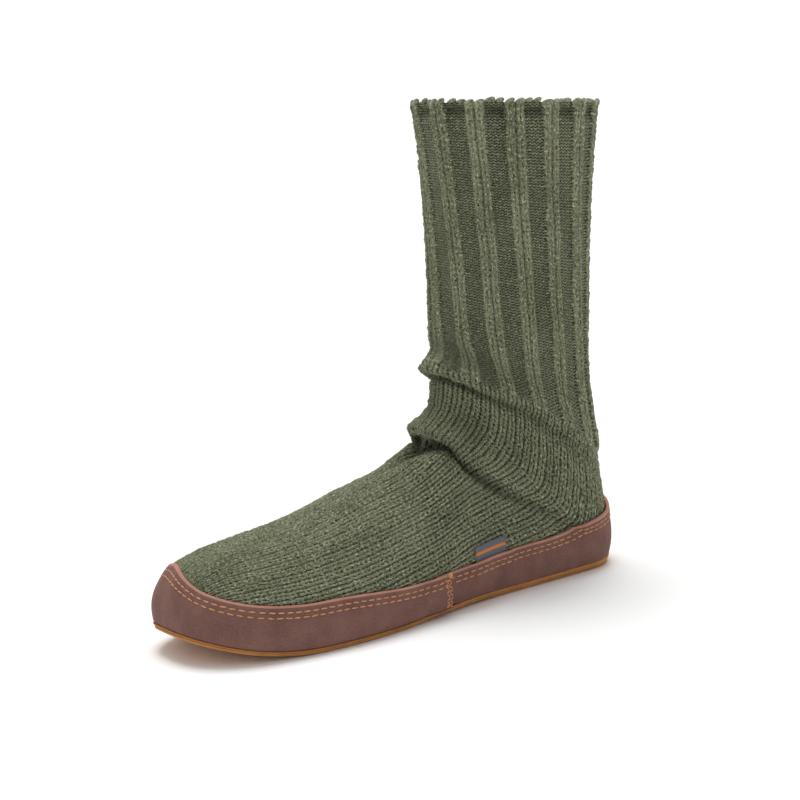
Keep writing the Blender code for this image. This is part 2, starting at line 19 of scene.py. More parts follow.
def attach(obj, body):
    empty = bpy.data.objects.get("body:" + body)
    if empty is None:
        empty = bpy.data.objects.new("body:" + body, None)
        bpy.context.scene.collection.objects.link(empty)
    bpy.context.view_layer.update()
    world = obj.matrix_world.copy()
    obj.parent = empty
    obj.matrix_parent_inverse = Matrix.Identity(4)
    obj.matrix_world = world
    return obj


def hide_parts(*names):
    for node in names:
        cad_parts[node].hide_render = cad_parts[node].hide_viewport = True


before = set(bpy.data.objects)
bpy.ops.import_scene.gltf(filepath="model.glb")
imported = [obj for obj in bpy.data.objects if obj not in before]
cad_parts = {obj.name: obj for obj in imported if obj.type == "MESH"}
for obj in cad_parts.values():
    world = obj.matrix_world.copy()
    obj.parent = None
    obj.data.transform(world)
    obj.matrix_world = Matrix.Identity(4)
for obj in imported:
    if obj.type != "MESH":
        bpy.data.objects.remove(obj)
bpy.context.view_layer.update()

# %% [markdown]
# ## The form of the sock
# The knit follows the foot as a stack of closed sections, upright along the foot, fanned
# round the heel and level in the leg. Each row below is one section. A curve through the
# rows gives the sections between them, so the tables stay short and the surface smooth.

# %% Sizes
LENGTH, HEEL_BACK = 0.280, 0.035
BALL_WIDTH, HEEL_WIDTH = 0.098, 0.072
INSTEP_HEIGHT, HEIGHT, CUFF_RISE = 0.098, 0.262, 0.0130
SHAFT_DEPTH, SHAFT_WIDTH = 0.088, 0.078
CUFF_DEPTH, CUFF_WIDTH = 0.107, 0.090
ANKLE_CENTRE, CUFF_CENTRE = -0.019, -0.011
FRONT_START, BACK_START = 0.146, 0.112
WALL, LEATHER, SKIVED = 0.0026, 0.0019, 0.0009
SOLE_THICKNESS, TOE_SPRING, ARCH_RISE, HEEL_ROUNDING = 0.0025, 0.0135, 0.0014, 0.0033
CLEARANCE, WRAP_GAP, FORM_DEPTH = 0.0003, 0.0009, 0.006
RIBS = 14
WALES = 4 * RIBS
TOE_RADIUS = 0.40 * BALL_WIDTH
TOE_X, TOE_Y = -0.085 * BALL_WIDTH, HEEL_BACK - LENGTH + TOE_RADIUS
# height of the rand's edge along the side, then by quarter turns round the toe
RAND_ROWS = ((0.00, 0.0300), (0.24, 0.0242), (0.50, 0.0198), (0.74, 0.0238))
RAND_TOE_ROWS = ((0.00, 0.0238), (0.50, 0.0238), (1.30, 0.030), (1.55, 0.030), (2.00, 0.0238))
SIDE_BUILD = LEATHER + WRAP_GAP
print("wales round the leg:", WALES)

# %% Section tables
# top along, top, bottom along, drop, width, shift, lean, widest, round top, round bottom
FOOT_ROWS = (
    (0.9915, 0.200, 0.9915, 0.3, 0.060, -0.100, 0.00, 0.45, 2.0, 2.0),
    (0.9865, 0.277, 0.9865, 0.7, 0.300, -0.095, 0.00, 0.42, 2.0, 2.4),
    (0.9690, 0.405, 0.9690, 1.0, 0.530, -0.085, 0.01, 0.40, 2.0, 3.0),
    (0.9350, 0.493, 0.9350, 1.0, 0.715, -0.068, 0.02, 0.38, 2.1, 3.4),
    (0.8850, 0.536, 0.8850, 1.0, 0.860, -0.045, 0.04, 0.37, 2.2, 3.8),
    (0.8000, 0.563, 0.8000, 1.0, 0.955, -0.020, 0.06, 0.36, 2.2, 4.0),
    (0.6900, 0.614, 0.6900, 1.0, 0.970, 0.005, 0.06, 0.35, 2.2, 4.0),
    (0.5800, 0.716, 0.5800, 1.0, 0.905, 0.020, 0.05, 0.35, 2.1, 4.0),
    (0.4850, 0.795, 0.4900, 1.0, 0.830, 0.020, 0.04, 0.36, 2.0, 3.8),
    (0.4050, 0.930, 0.4050, 1.0, 0.780, 0.012, 0.02, 0.37, 2.0, 3.6),
)
# top, bottom along, back, width, widest, round top, round bottom
HEEL_ROWS = (
    (0.10, 0.3100, 0.000, 1.010, 0.38, 2.0, 3.6),
    (0.20, 0.2050, 0.000, 0.995, 0.39, 2.0, 3.6),
    (0.31, 0.1050, 0.000, 1.000, 0.40, 2.0, 3.4),
    (0.42, 0.0400, 0.000, 1.010, 0.41, 2.0, 2.9),
    (0.54, 0.0135, 0.140, 1.020, 0.42, 2.0, 2.5),
    (0.66, 0.0085, 0.330, 1.030, 0.44, 2.0, 2.2),
    (0.78, 0.0150, 0.560, 1.050, 0.46, 2.0, 2.0),
    (0.89, 0.0250, 0.780, 1.080, 0.48, 2.0, 2.0),
)
# up, swell
SHAFT_ROWS = ((0.00, 0.00), (0.25, 0.05), (0.55, 0.25), (0.82, 0.62), (1.00, 1.00))


# %% Heights under the foot
def ease(share):
    """Smooth step from 0 to 1."""
    share = np.clip(share, 0.0, 1.0)
    return share * share * (3.0 - 2.0 * share)


def sole_bottom(y):
    """Height of the sole's lower face: flat heel and ball, arch, toe spring."""
    along = (HEEL_BACK - y) / LENGTH
    heel = HEEL_ROUNDING * (1.0 - ease(along / 0.06)) ** 2
    arch = ARCH_RISE * ease((along - 0.27) / 0.155) * ease((0.61 - along) / 0.155)
    return heel + arch + TOE_SPRING * np.maximum((along - 0.76) / 0.24, 0.0) ** 2


def sole_top(y):
    return sole_bottom(y) + SOLE_THICKNESS


# %% From rows to sizes
def section_table():
    """Rows of top y, top z, bottom y, bottom z, half width, shift, lean, widest, exponents."""
    rows = []
    for top_along, top, low_along, drop, width, shift, lean, *shape in FOOT_ROWS:
        low_y = HEEL_BACK - low_along * LENGTH
        rows.append((HEEL_BACK - top_along * LENGTH, top * INSTEP_HEIGHT,
                     low_y, sole_top(low_y) - drop * FORM_DEPTH,
                     0.5 * width * (BALL_WIDTH - 2 * SIDE_BUILD),
                     shift * BALL_WIDTH, lean * BALL_WIDTH, *shape))
    instep_y, instep_z = rows[-1][:2]
    front_y = ANKLE_CENTRE - SHAFT_DEPTH / 2
    floor = SOLE_THICKNESS - FORM_DEPTH
    for top, low_along, back, width, *shape in HEEL_ROWS:
        rows.append((instep_y + top * (front_y - instep_y),
                     instep_z + top * (FRONT_START - instep_z),
                     HEEL_BACK - low_along * LENGTH, floor + back * (BACK_START - floor),
                     0.5 * width * (HEEL_WIDTH - 2 * SIDE_BUILD), 0.0, 0.0, *shape))
    for up, swell in SHAFT_ROWS:
        centre = ANKLE_CENTRE + up * (CUFF_CENTRE - ANKLE_CENTRE)
        half = 0.5 * (SHAFT_DEPTH + swell * (CUFF_DEPTH - SHAFT_DEPTH))
        rows.append((centre - half, FRONT_START + up * (HEIGHT + CUFF_RISE - FRONT_START),
                     centre + half, BACK_START + up * (HEIGHT - BACK_START),
                     0.5 * (SHAFT_WIDTH + swell * (CUFF_WIDTH - SHAFT_WIDTH)),
                     0.0, 0.0, 0.5, 2.0, 2.0))
    return np.array(rows)


SECTIONS = section_table()
LAST_ROW = len(SECTIONS) - 1
print("sections:", LAST_ROW + 1)


# %% Curve through the rows, and one section
def through_rows(place):
    """Section at row number `place`, on a smooth curve through the rows."""
    start = min(int(place), LAST_ROW - 1)
    part = place - start
    here, after = SECTIONS[start], SECTIONS[start + 1]
    before = SECTIONS[start - 1] if start > 0 else 2 * here - after
    beyond = SECTIONS[start + 2] if start + 2 <= LAST_ROW else 2 * after - here
    leave, arrive = (after - before) / 2, (beyond - here) / 2
    return ((2 * part**3 - 3 * part**2 + 1) * here + (part**3 - 2 * part**2 + part) * leave
            + (3 * part**2 - 2 * part**3) * after + (part**3 - part**2) * arrive)


def half_section(place, side, shares):
    """Points on one half of a section, from its top (share 0) to its bottom (share 1)."""
    top_y, top_z, low_y, low_z, half, shift, lean, widest, upper, lower = through_rows(place)
    angle = np.linspace(0.0, math.pi, 97)
    sine, cosine = np.abs(np.sin(angle)), np.abs(np.cos(angle))
    above = angle <= math.pi / 2
    power = np.where(above, 2.0 / upper, 2.0 / lower)
    height = widest + np.where(above, 1.0 - widest, -widest) * cosine**power
    across = side * half * sine**power + shift - lean * ease(height)
    points = np.stack([across, low_y + height * (top_y - low_y),
                       low_z + height * (top_z - low_z)], axis=1)
    steps = np.linalg.norm(np.diff(points, axis=0), axis=1)
    length = np.concatenate([[0.0], np.cumsum(steps)])
    wanted = np.asarray(shares) * length[-1]
    return np.stack([np.interp(wanted, length, points[:, axis]) for axis in range(3)], axis=1)


def ring(place, turns):
    """Points of one section. turns runs from 0 at the front, by the outer side, to 1."""
    turns = np.asarray(turns) % 1.0
    outer = turns <= 0.5
    points = np.empty((len(turns), 3))
    points[outer] = half_section(place, 1, turns[outer] * 2)
    points[~outer] = half_section(place, -1, (1 - turns[~outer]) * 2)
    return points


def outward(grid):
    """Outward unit normals of a grid of closed rings."""
    normals = np.cross(np.roll(grid, -1, axis=1) - np.roll(grid, 1, axis=1),
                       np.gradient(grid, axis=0))
    return normals / np.maximum(np.linalg.norm(normals, axis=2, keepdims=True), 1e-12)


# %% [markdown]
# ## Folds and ribs
# The leg of the sock is slack, so it rolls at the ankle: a thick fold under the end of the
# ribs, a second one on the instep with a deep crease under it, and a few soft ones between.
# Each is a ridge or trough in the wall that climbs round the leg and fades out.

# %% Fold table
# place at the front, rows climbed round the leg, share of the way round where the climb
# is done, width in rows, rise in metres, reach, roll
FOLD_ROWS = (
    (8.5, 6.6, 1.00, 0.33, -0.0060, 0.95, 0.0),
    (9.8, 5.8, 1.00, 0.78, 0.0062, 0.66, 0.3),
    (11.9, 2.6, 1.00, 0.35, -0.0010, 0.50, 0.0),
    (12.8, 1.6, 1.00, 1.00, -0.0015, 0.60, 0.0),
    (14.3, 1.15, 0.36, 0.30, -0.0038, 1.10, 0.0),
    (15.15, 0.75, 0.36, 0.55, 0.0068, 1.00, 0.35),
    (16.9, -0.3, 1.00, 0.60, -0.0008, 0.60, 0.0),
)
RIB_END_ROW = 15.5
RIB_CLIMB, RIB_CLIMBED = 0.5, 0.36   # the rib's end climbs with the upper fold
RIB_RISE = 0.0019
TWIST = 0.040                # part of a turn that the ribs wind round up the leg


def folded(grid, places, turns):
    """The grid with its folds raised and rolled toward the toe, and how deep in a crease
    each point lies, from 0 to 1."""
    normals = outward(grid)
    length = np.gradient(grid, axis=0)
    length /= np.maximum(np.linalg.norm(length, axis=2, keepdims=True), 1e-12)
    round_share = 1.0 - np.abs(1.0 - 2.0 * (turns % 1.0))
    crease = np.zeros(turns.shape)
    for start, climb, climbed, width, rise, reach, roll in FOLD_ROWS:
        path = start + climb * np.minimum(round_share / climbed, 1.0)
        off = (places[:, None] - path) / width
        fade = rise * np.exp(-off * off) * (1.0 - ease(round_share / reach))
        grid = grid + normals * fade[:, :, None] - length * (roll * fade)[:, :, None]
        crease = np.maximum(crease, np.clip(-fade / 0.005, 0.0, 1.0))
    return grid, crease


# %% [markdown]
# ## Stitches
# A plain stitch shows as two legs of a V, and a purl stitch as a wave lying across. Both
# are height patterns here: a function of the place in the wale and in the course. They
# move real points of the wall, because from a step away the stitches still cast shadows.

# %% Stitch patterns
def plain_stitch(across, along):
    """Height of plain knitting. Each leg is a leaf that leans out from the foot of its V,
    where it is proud, to the next course's head, where it sinks behind the next V."""
    height = np.zeros_like(across)
    for earlier in (0.0, 1.0):
        grow = (along % 1.0 + earlier) / 1.65
        lean = 0.12 + 0.22 * grow
        rise = np.minimum(grow / 0.16, 1.0) * np.clip(1.18 - 0.62 * grow, 0.0, 1.0)
        swell = np.where(grow < 1.0, rise, 0.0)
        for side in (-1.0, 1.0):
            off = (across % 1.0 - 0.5 - side * lean) / 0.175
            height = np.maximum(height, np.sqrt(np.clip(1.0 - off * off, 0.0, 1.0)) * swell)
    return height


def purl_stitch(across, along):
    """Height of purl knitting: a head and a foot of yarn across each wale, as two waves."""
    wave = 0.15 * np.cos(2 * math.pi * across)
    height = np.zeros_like(across)
    for middle in (-0.25, 0.25, 0.75, 1.25):
        off = (along % 1.0 - middle - wave) / 0.20
        height = np.maximum(height, np.sqrt(np.clip(1.0 - off * off, 0.0, 1.0)))
    return height


def rib_profile(wale):
    """1 on the two proud wales of a rib and 0 on the two sunk ones, with steep flanks."""
    into = (wale + 1.0) % 4.0
    risen, fallen, risen_again = [ease((into - edge) / 0.28) for edge in (-0.14, 1.86, 3.86)]
    return risen * (1.0 - fallen) + risen_again


# %% [markdown]
# ## From points to pieces
# Nearly every piece here is a sheet closed round on itself: knitting round the leg, leather
# round its own outline. So each starts as a flat grid. Its points are laid where they
# belong, and its last column is welded to its first.

# %% Grids and pieces
WELD = 1e-6                  # points nearer than this are one


def wrapped_grid(points):
    """Mesh in the making, from rows of points that each close round to their start."""
    columns = len(points[0])
    bm = bmesh.new()
    bmesh.ops.create_grid(bm, x_segments=columns, y_segments=len(points) - 1, size=1.0)
    bm.verts.ensure_lookup_table()
    bm.verts.index_update()
    for index, vert in enumerate(bm.verts):
        row, column = divmod(index, columns + 1)
        vert.co = points[row][column % columns]
    return bm


def lay_uv(bm, name, columns, place):
    """UV map from a function of row and column. The last column keeps a place of its own
    there, so that a pattern runs on up to the seam."""
    layer = bm.loops.layers.uv.new(name)
    for face in bm.faces:
        for corner in face.loops:
            corner[layer].uv = place(*divmod(corner.vert.index, columns + 1))


def seal(bm, fill=False):
    """Welds the grid to itself, closes its open ends if asked and turns its faces out."""
    bmesh.ops.remove_doubles(bm, verts=bm.verts, dist=WELD)
    filled = []
    if fill:
        edges = [edge for edge in bm.edges if edge.is_boundary]
        filled = bmesh.ops.holes_fill(bm, edges=edges, sides=0)["faces"]
    bmesh.ops.recalc_face_normals(bm, faces=bm.faces)
    return filled


def mesh_from(name, bm):
    mesh = bpy.data.meshes.new(name)
    bm.to_mesh(mesh)
    bm.free()
    return mesh


def add_object(name, data):
    thing = bpy.data.objects.new(name, data)
    bpy.context.scene.collection.objects.link(thing)
    return thing


def finish_piece(name, bm, slot_name, *nodes):
    """Turns a mesh in the making into a named piece that rides on the body."""
    print(name, "triangles", sum(len(face.verts) - 2 for face in bm.faces))
    piece = add_object(name, mesh_from(name, bm))
    piece.data.shade_smooth()
    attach(piece, "root")
    if nodes:
        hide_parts(*nodes)
    return piece


# %% [markdown]
# ## The knitted wall
# Courses are counted along the sock. Where it bends at the ankle the back of the tube is
# longer than the front, so a course is placed by the mean of both. The wall is made in
# three pieces of knitting, foot, ankle and leg, which meet at the instep's crease and a
# little above the end of the ribs.

# %% Courses
COURSE = 0.0031
CREASE_ROW = 8.9
fine_places = np.linspace(0.0, LAST_ROW, 400)
profile = np.array([through_rows(place)[:4] for place in fine_places])
front_step = np.linalg.norm(np.diff(profile[:, :2], axis=0), axis=1)
back_step = np.linalg.norm(np.diff(profile[:, 2:], axis=0), axis=1)
travel = np.concatenate([[0.0], np.cumsum(0.5 * front_step + 0.5 * back_step)]) / COURSE


def place_of_course(course):
    return np.interp(course, travel, fine_places)


RIB_END_COURSE = round(float(np.interp(RIB_END_ROW, fine_places, travel)))
CREASE_COURSE = round(float(np.interp(CREASE_ROW, fine_places, travel)))
CUFF_COURSE = int(travel[-1])
print("courses: crease", CREASE_COURSE, "rib end", RIB_END_COURSE, "cuff", CUFF_COURSE)

# %% [markdown]
# A piece of knitting is the form's surface with its folds, and on it the yarn. Hand-fed
# yarn is never even, so each stitch rises and sways a little by its own seeded number, and
# each wale drifts. Three marks go along with the points for the colour: the yarn's relief,
# where it is purl, and a painted shade. The painted shade darkens the colour where a lamp
# hardly reaches, such as creases, the hollow under the cuff's edge, the sunk wales and the
# furrows between wales. The relief also carries painted light on the foot's top and less
# painted shade on the proud wales.

# %% Unevenness and sizes of the yarn
UNEVEN = np.random.default_rng(7)
DRIFT_COURSES, DRIFT = 6, 0.06       # how slowly a wale drifts, and by what part of itself
STITCH_RISE = UNEVEN.normal(0.0, 0.16, (CUFF_COURSE + 8, WALES))
STITCH_SWAY = UNEVEN.normal(0.0, 0.035, (2, CUFF_COURSE + 8, WALES))
WALE_DRIFT = UNEVEN.normal(0.0, 1.0, (CUFF_COURSE // DRIFT_COURSES + 4, WALES))
PLAIN_RISE, PURL_RISE = 0.00125, 0.0005
SUNK = 0.0009                # the yarn's relief is centred on the form's surface
NEAR_RIM = 0.0036            # the cuff stands higher on its outer side
HOLLOW = 0.0014              # the sunk wales draw in under the cuff's edge
PLUMP = 0.0015               # the wool swells over the leather's edge
# how much painted shade darkens the colour in creases, sunk wales, the hollow under the cuff and
# the furrows
CREASE_PAINTED_SHADE, VALLEY_PAINTED_SHADE, HOLLOW_PAINTED_SHADE, FURROW_PAINTED_SHADE = 0.72, 0.14, 0.60, 0.38
TOP_PAINTED_LIGHT, RIB_PAINTED_SHADE_LIFT = 0.25, 0.45        # painted light on the foot's upward faces, and less painted shade between strands on the proud wales


# %% Height of the rand's edge
def row_height(rows, share):
    """Height at a share, on smooth steps through rows of share and height."""
    shares, heights = np.array(rows).T
    step = np.clip(np.searchsorted(shares, share, side="right") - 1, 0, len(rows) - 2)
    part = (share - shares[step]) / (shares[step + 1] - shares[step])
    return heights[step] + (heights[step + 1] - heights[step]) * ease(part)


def rand_edge(points):
    """Height of the rand's edge beside points of the wool."""
    x, y = points[..., 0] - TOE_X, TOE_Y - points[..., 1]
    side = row_height(RAND_ROWS, (HEEL_BACK - points[..., 1]) / LENGTH)
    toe = row_height(RAND_TOE_ROWS, np.arctan2(np.maximum(y, 0.0), x) / (math.pi / 2))
    return sole_top(points[..., 1]) + np.where(y > 0, toe, side)


# %% Points of the knitting
def knitted(courses, columns, wall=0.0, inside=False):
    """Points of a piece of knitting, and the relief, purl and painted shade of each. The relief
    also carries painted light.
    """
    places = place_of_course(courses)
    wales = np.arange(columns) / columns * WALES
    grid = np.empty((len(courses), columns, 3))
    turns = np.empty((len(courses), columns))
    up_leg = ease((places - RIB_END_ROW) / (LAST_ROW - RIB_END_ROW))
    for row, place in enumerate(places):
        coarse = courses[row] / DRIFT_COURSES + 1.0
        low = int(coarse)
        drift = WALE_DRIFT[low] * (low + 1 - coarse) + WALE_DRIFT[low + 1] * (coarse - low)
        drift = np.interp(wales, np.arange(WALES + 1), np.append(drift, drift[0]))
        turns[row] = (wales + DRIFT * drift) / WALES - TWIST * up_leg[row]
        grid[row] = ring(place, turns[row])
    grid, crease = folded(grid, places, turns)
    rim = ease((places - LAST_ROW + 1.6) / 1.6)
    grid[:, :, 2] += NEAR_RIM * rim[:, None] * grid[:, :, 0] / (CUFF_WIDTH / 2)
    normals = outward(grid)

    across = np.broadcast_to(wales, turns.shape)
    along = np.broadcast_to(courses[:, None], turns.shape)
    round_share = 1.0 - np.abs(1.0 - 2.0 * (turns % 1.0))
    rib_start = RIB_END_ROW + RIB_CLIMB * np.minimum(round_share / RIB_CLIMBED, 1.0)
    ribbed = ease((places[:, None] - rib_start + 0.12) / 0.24)
    proud = rib_profile(across)
    valley = ribbed * (1.0 - proud)
    hollow = valley * np.exp(-((CUFF_COURSE - along - 1.4) / 0.9) ** 2)
    stitch = along.astype(int) + 4, across.astype(int) % WALES
    plain = plain_stitch(across + STITCH_SWAY[0][stitch], along + 1.5 * STITCH_SWAY[1][stitch])
    purl = purl_stitch(across, along)
    # painted shade in the creases
    shade = 1.0 - CREASE_PAINTED_SHADE * crease
    if inside:
        shows_plain = valley
        step = 0.0
    else:
        shows_plain = 1.0 - valley
        off_middle = (across + 1.0) % 4.0 - 1.0      # from between the two proud wales
        crown = 1.0 - 0.35 * off_middle**2 * proud
        above = grid[:, :, 2] - rand_edge(grid)
        swell = ease(above / 0.003 + 0.3) * np.exp(-(above / 0.008) ** 2)
        swell = swell * (places < 12.0)[:, None]
        step = RIB_RISE * ribbed * proud * crown - HOLLOW * hollow + PLUMP * swell
        # painted shade in the sunk wales, in the hollow under the cuff's edge and in the furrow
        # between the proud wales
        furrow = ribbed * np.exp(-(off_middle / 0.15) ** 2)
        for dark, where in ((VALLEY_PAINTED_SHADE, valley), (HOLLOW_PAINTED_SHADE, hollow), (FURROW_PAINTED_SHADE, furrow)):
            shade = shade * (1.0 - dark * where)
    height = shows_plain * PLAIN_RISE * plain + (1.0 - shows_plain) * PURL_RISE * purl
    lift = (1.0 + STITCH_RISE[stitch]) * height + step - SUNK
    grid = grid + normals * ((-lift if inside else lift) - wall)[:, :, None]
    # the brushed mark is painted light: the foot's faces that look up, and the proud wales, get
    # less of the painted shade between strands
    brushed = TOP_PAINTED_LIGHT * ease((normals[:, :, 2] - 0.1) / 0.6) * (places < 8.0)[:, None]
    brushed = brushed + RIB_PAINTED_SHADE_LIFT * ribbed * proud
    return grid, 1.0 - (1.0 - plain) * (1.0 - brushed), 1.0 - shows_plain, shade


# %% Mesh of the knitting
def knit_object(name, courses, columns, wall=0.0, inside=False):
    """A piece of knitting. Where the sole covers it, it is left open."""
    grid, *marks = knitted(courses, columns, wall, inside)
    bm = wrapped_grid(grid)
    layers = [bm.verts.layers.float.new(mark) for mark in ("relief", "purl", "shade")]
    for index, vert in enumerate(bm.verts):
        row, column = divmod(index, columns + 1)
        for layer, mark in zip(layers, marks):
            vert[layer] = mark[row, column % columns]
    lay_uv(bm, "yarn", columns, lambda row, column: (column / columns * WALES, courses[row]))
    hidden = [face for face in bm.faces
              if all(vert.co.z < sole_top(vert.co.y) + CLEARANCE for vert in face.verts)]
    bmesh.ops.delete(bm, geom=hidden, context="FACES")
    bmesh.ops.remove_doubles(bm, verts=bm.verts, dist=WELD)
    if inside:
        bmesh.ops.reverse_faces(bm, faces=bm.faces)
    return finish_piece(name, bm, "wool", "upper")


def course_steps(first, last, samples):
    return np.linspace(first, last, int((last - first) * samples) + 1)


# %% [markdown]
# The foot and the ankle carry plain stitches, which need five rows of points a course. The
# ribs make do with four. The inside shows over the cuff's edge: the same wall seen from
# behind, with plain and purl changed over. It is coarser, since it is seen from far off.

# %% Knit the pieces
EIGHT = 8 * WALES
LEG_COURSE = RIB_END_COURSE + 4
foot_knit = knit_object("knit_foot", course_steps(0, CREASE_COURSE, 5), EIGHT)
ankle_knit = knit_object("knit_ankle", course_steps(CREASE_COURSE, LEG_COURSE, 5), EIGHT)
leg_knit = knit_object("knit_leg", course_steps(LEG_COURSE, CUFF_COURSE, 4), EIGHT)
lining = knit_object("knit_inside", course_steps(12, CUFF_COURSE, 2), 4 * WALES,
                     wall=WALL, inside=True)

# %% [markdown]
# ## Cuff edge
# The last course is cast off: a chain of fat loops that lies on the edge like a rope. Each
# loop is one small rounded bead, turned a little, so that the row looks plaited. Over the
# sunk wales the loops lie further in and lower.

# %% Cast off the cuff
LOOP_LENGTH, LOOP_WIDTH, LOOP_HEIGHT = 0.0072, 0.0035, 0.0034
PROUD_LOOP, SUNK_LOOP = (0.0008, 0.0004), (0.0022, -0.0006)       # inward, lift


def bead(bm, middle, along, up, size, turn=0.0, detail=(10, 6)):
    """Adds a rounded bead of yarn or thread, lying along a direction on a surface. Its size
    is length, width and height."""
    along = along.normalized()
    up = (up - along * up.dot(along)).normalized()
    axes = Matrix((along, up.cross(along), up)).transposed().to_4x4()
    place = Matrix.Translation(middle) @ axes @ Matrix.Rotation(turn, 4, "Z")
    bmesh.ops.create_uvsphere(bm, u_segments=detail[0], v_segments=detail[1], radius=0.5,
                              matrix=place @ Matrix.Diagonal((*size, 1.0)))


edge_grid = knitted(np.array([CUFF_COURSE - 1.0, CUFF_COURSE]), EIGHT)[0]
edge_out = outward(edge_grid)
bm = bmesh.new()
for wale in range(WALES):
    column = wale * 8 + 4
    out = Vector(edge_out[1, column])
    along = Vector(edge_grid[1, (column + 4) % EIGHT] - edge_grid[1, (column - 4) % EIGHT])
    jitter = UNEVEN.normal(0.0, 1.0, 3)
    proud = rib_profile(np.array([wale + 0.5]))[0] > 0.5
    inward, lift = PROUD_LOOP if proud else SUNK_LOOP
    middle = Vector(edge_grid[1, column]) - out * inward
    middle.z += lift + 0.00025 * jitter[0]
    bead(bm, middle, along, out, (LOOP_LENGTH + 0.0005 * jitter[2], LOOP_WIDTH, LOOP_HEIGHT),
         turn=math.radians(28 + 9 * jitter[1]), detail=(12, 8))
cast_off = finish_piece("cuff_cast_off", bm, "wool")

# %% [markdown]
# ## Fuzz
# Wool yarn sheds short fibres. Thousands of straight hairs, a few millimetres long and a
# tenth of a millimetre thick, stand at low angles all over the knitting. They blur its
# stitches and its outline a little, which is how wool differs from cotton.

# %% Fuzz
HAIRS, HAIR_COURSES = 11000, 420
HAIR_SHORT, HAIR_LONG = 0.0015, 0.0040
HAIR_ROOT, HAIR_TIP = 0.00006, 0.00003       # radii
bm = bmesh.new()
hair_courses = np.linspace(1.0, CUFF_COURSE - 0.2, HAIR_COURSES)
hair_grid = knitted(hair_courses, EIGHT // 2)[0]
hair_out = outward(hair_grid)
hair_floor = rand_edge(hair_grid)
picks = np.random.default_rng(23)
for _ in range(HAIRS):
    row, column = int(picks.integers(0, HAIR_COURSES)), int(picks.integers(0, EIGHT // 2))
    root, out = Vector(hair_grid[row, column]), Vector(hair_out[row, column])
    if root.z < hair_floor[row, column] - 0.001:
        continue
    lean = Vector(picks.normal(0.0, 1.0, 3)).normalized()
    way = (out * picks.uniform(0.15, 0.8) + (lean - out * lean.dot(out))).normalized()
    length = picks.uniform(HAIR_SHORT, HAIR_LONG)
    turn = way.to_track_quat("Z", "Y").to_matrix().to_4x4()
    place = Matrix.Translation(root + way * length * 0.42) @ turn
    bmesh.ops.create_cone(bm, cap_ends=False, segments=3, radius1=HAIR_ROOT, radius2=HAIR_TIP,
                          depth=length, matrix=place)
fuzz = finish_piece("wool_fuzz", bm, "wool")

# %% [markdown]
# ## Following the edge of the foot
# Rand, sole and footbed all follow the foot's outline. Rays from a spine under the foot
# reach the sock's side at any height: a fan round the heel, level rays along the side and
# a fan round the toe. What they hit is where the leather lies.

# %% Rays round the foot
HEEL_RADIUS = HEEL_WIDTH / 2
TOE_CENTRE = Vector((TOE_X, TOE_Y, 0.0))
SPINE = TOE_CENTRE.length
EDGE_TRAVEL = (HEEL_RADIUS + TOE_RADIUS) * math.pi / 2 + SPINE
HEEL_SHARE = HEEL_RADIUS * math.pi / 2 / EDGE_TRAVEL
TOE_SHARE = 1.0 - TOE_RADIUS * math.pi / 2 / EDGE_TRAVEL
SEAM_ALONG, LAP = 0.131, 0.008


# %% What the rays meet
def form_surface(offset):
    """Ray target of the plain form, moved outward by an offset."""
    places = np.linspace(0.0, 17.0, 150)
    turns = np.arange(160) / 160
    grid = np.array([ring(place, turns) for place in places])
    grid, _ = folded(grid, places, np.broadcast_to(turns, grid.shape[:2]))
    grid = grid + outward(grid) * offset
    columns = len(turns)
    quads = [tuple(range(columns))]
    for row in range(len(places) - 1):
        for column in range(columns):
            after = (column + 1) % columns
            quads.append((row * columns + column, row * columns + after,
                          (row + 1) * columns + after, (row + 1) * columns + column))
    return BVHTree.FromPolygons([Vector(point) for line in grid for point in line], quads)


OUTER_FORM = form_surface(0.0)
INNER_FORM = form_surface(-WALL)


# %% The rays
def side_ray(place):
    """Ray at a place round the edge: 0 heel, 1 toe by the outer side, -1 by the inner."""
    side = 1.0 if place >= 0 else -1.0
    share = abs(place)
    toward_toe = TOE_CENTRE.normalized()
    sideways = Vector((-toward_toe.y, toward_toe.x, 0.0)) * side
    if share < HEEL_SHARE:
        angle = share / HEEL_SHARE * math.pi / 2
        return Vector((0, 0, 0)), -toward_toe * math.cos(angle) + sideways * math.sin(angle)
    if share < TOE_SHARE:
        return TOE_CENTRE * ((share - HEEL_SHARE) / (TOE_SHARE - HEEL_SHARE)), sideways
    angle = (share - TOE_SHARE) / (1.0 - TOE_SHARE) * math.pi / 2
    return TOE_CENTRE.copy(), toward_toe * math.sin(angle) + sideways * math.cos(angle)


def side_place(distance):
    """Place round the edge of a distance from the back of the sole, on the side."""
    return HEEL_SHARE + (distance - HEEL_BACK) / SPINE * (TOE_SHARE - HEEL_SHARE)


def side_point(surface, place, height):
    origin, direction = side_ray(place)
    origin.z = height
    return np.array(surface.ray_cast(origin, direction)[0])


def rand_height(place):
    if abs(place) > TOE_SHARE:
        turn = (abs(place) - TOE_SHARE) / (1.0 - TOE_SHARE)
        return row_height(RAND_TOE_ROWS, turn if place > 0 else 2.0 - turn)
    along = (HEEL_BACK - side_ray(place)[0].y) / LENGTH
    return row_height(RAND_ROWS, along * min(abs(place) / HEEL_SHARE, 1.0))


# %% Edge of the sole, and the band above it
def sole_edge(place):
    """Point of the sole's upper edge, flush with the rand."""
    direction = np.array(side_ray(place)[1])
    height = SOLE_THICKNESS + CLEARANCE
    for _ in range(3):
        point = side_point(OUTER_FORM, place, height) + direction * SIDE_BUILD
        height = float(sole_top(point[1])) + CLEARANCE
    point[2] = height - CLEARANCE
    return point


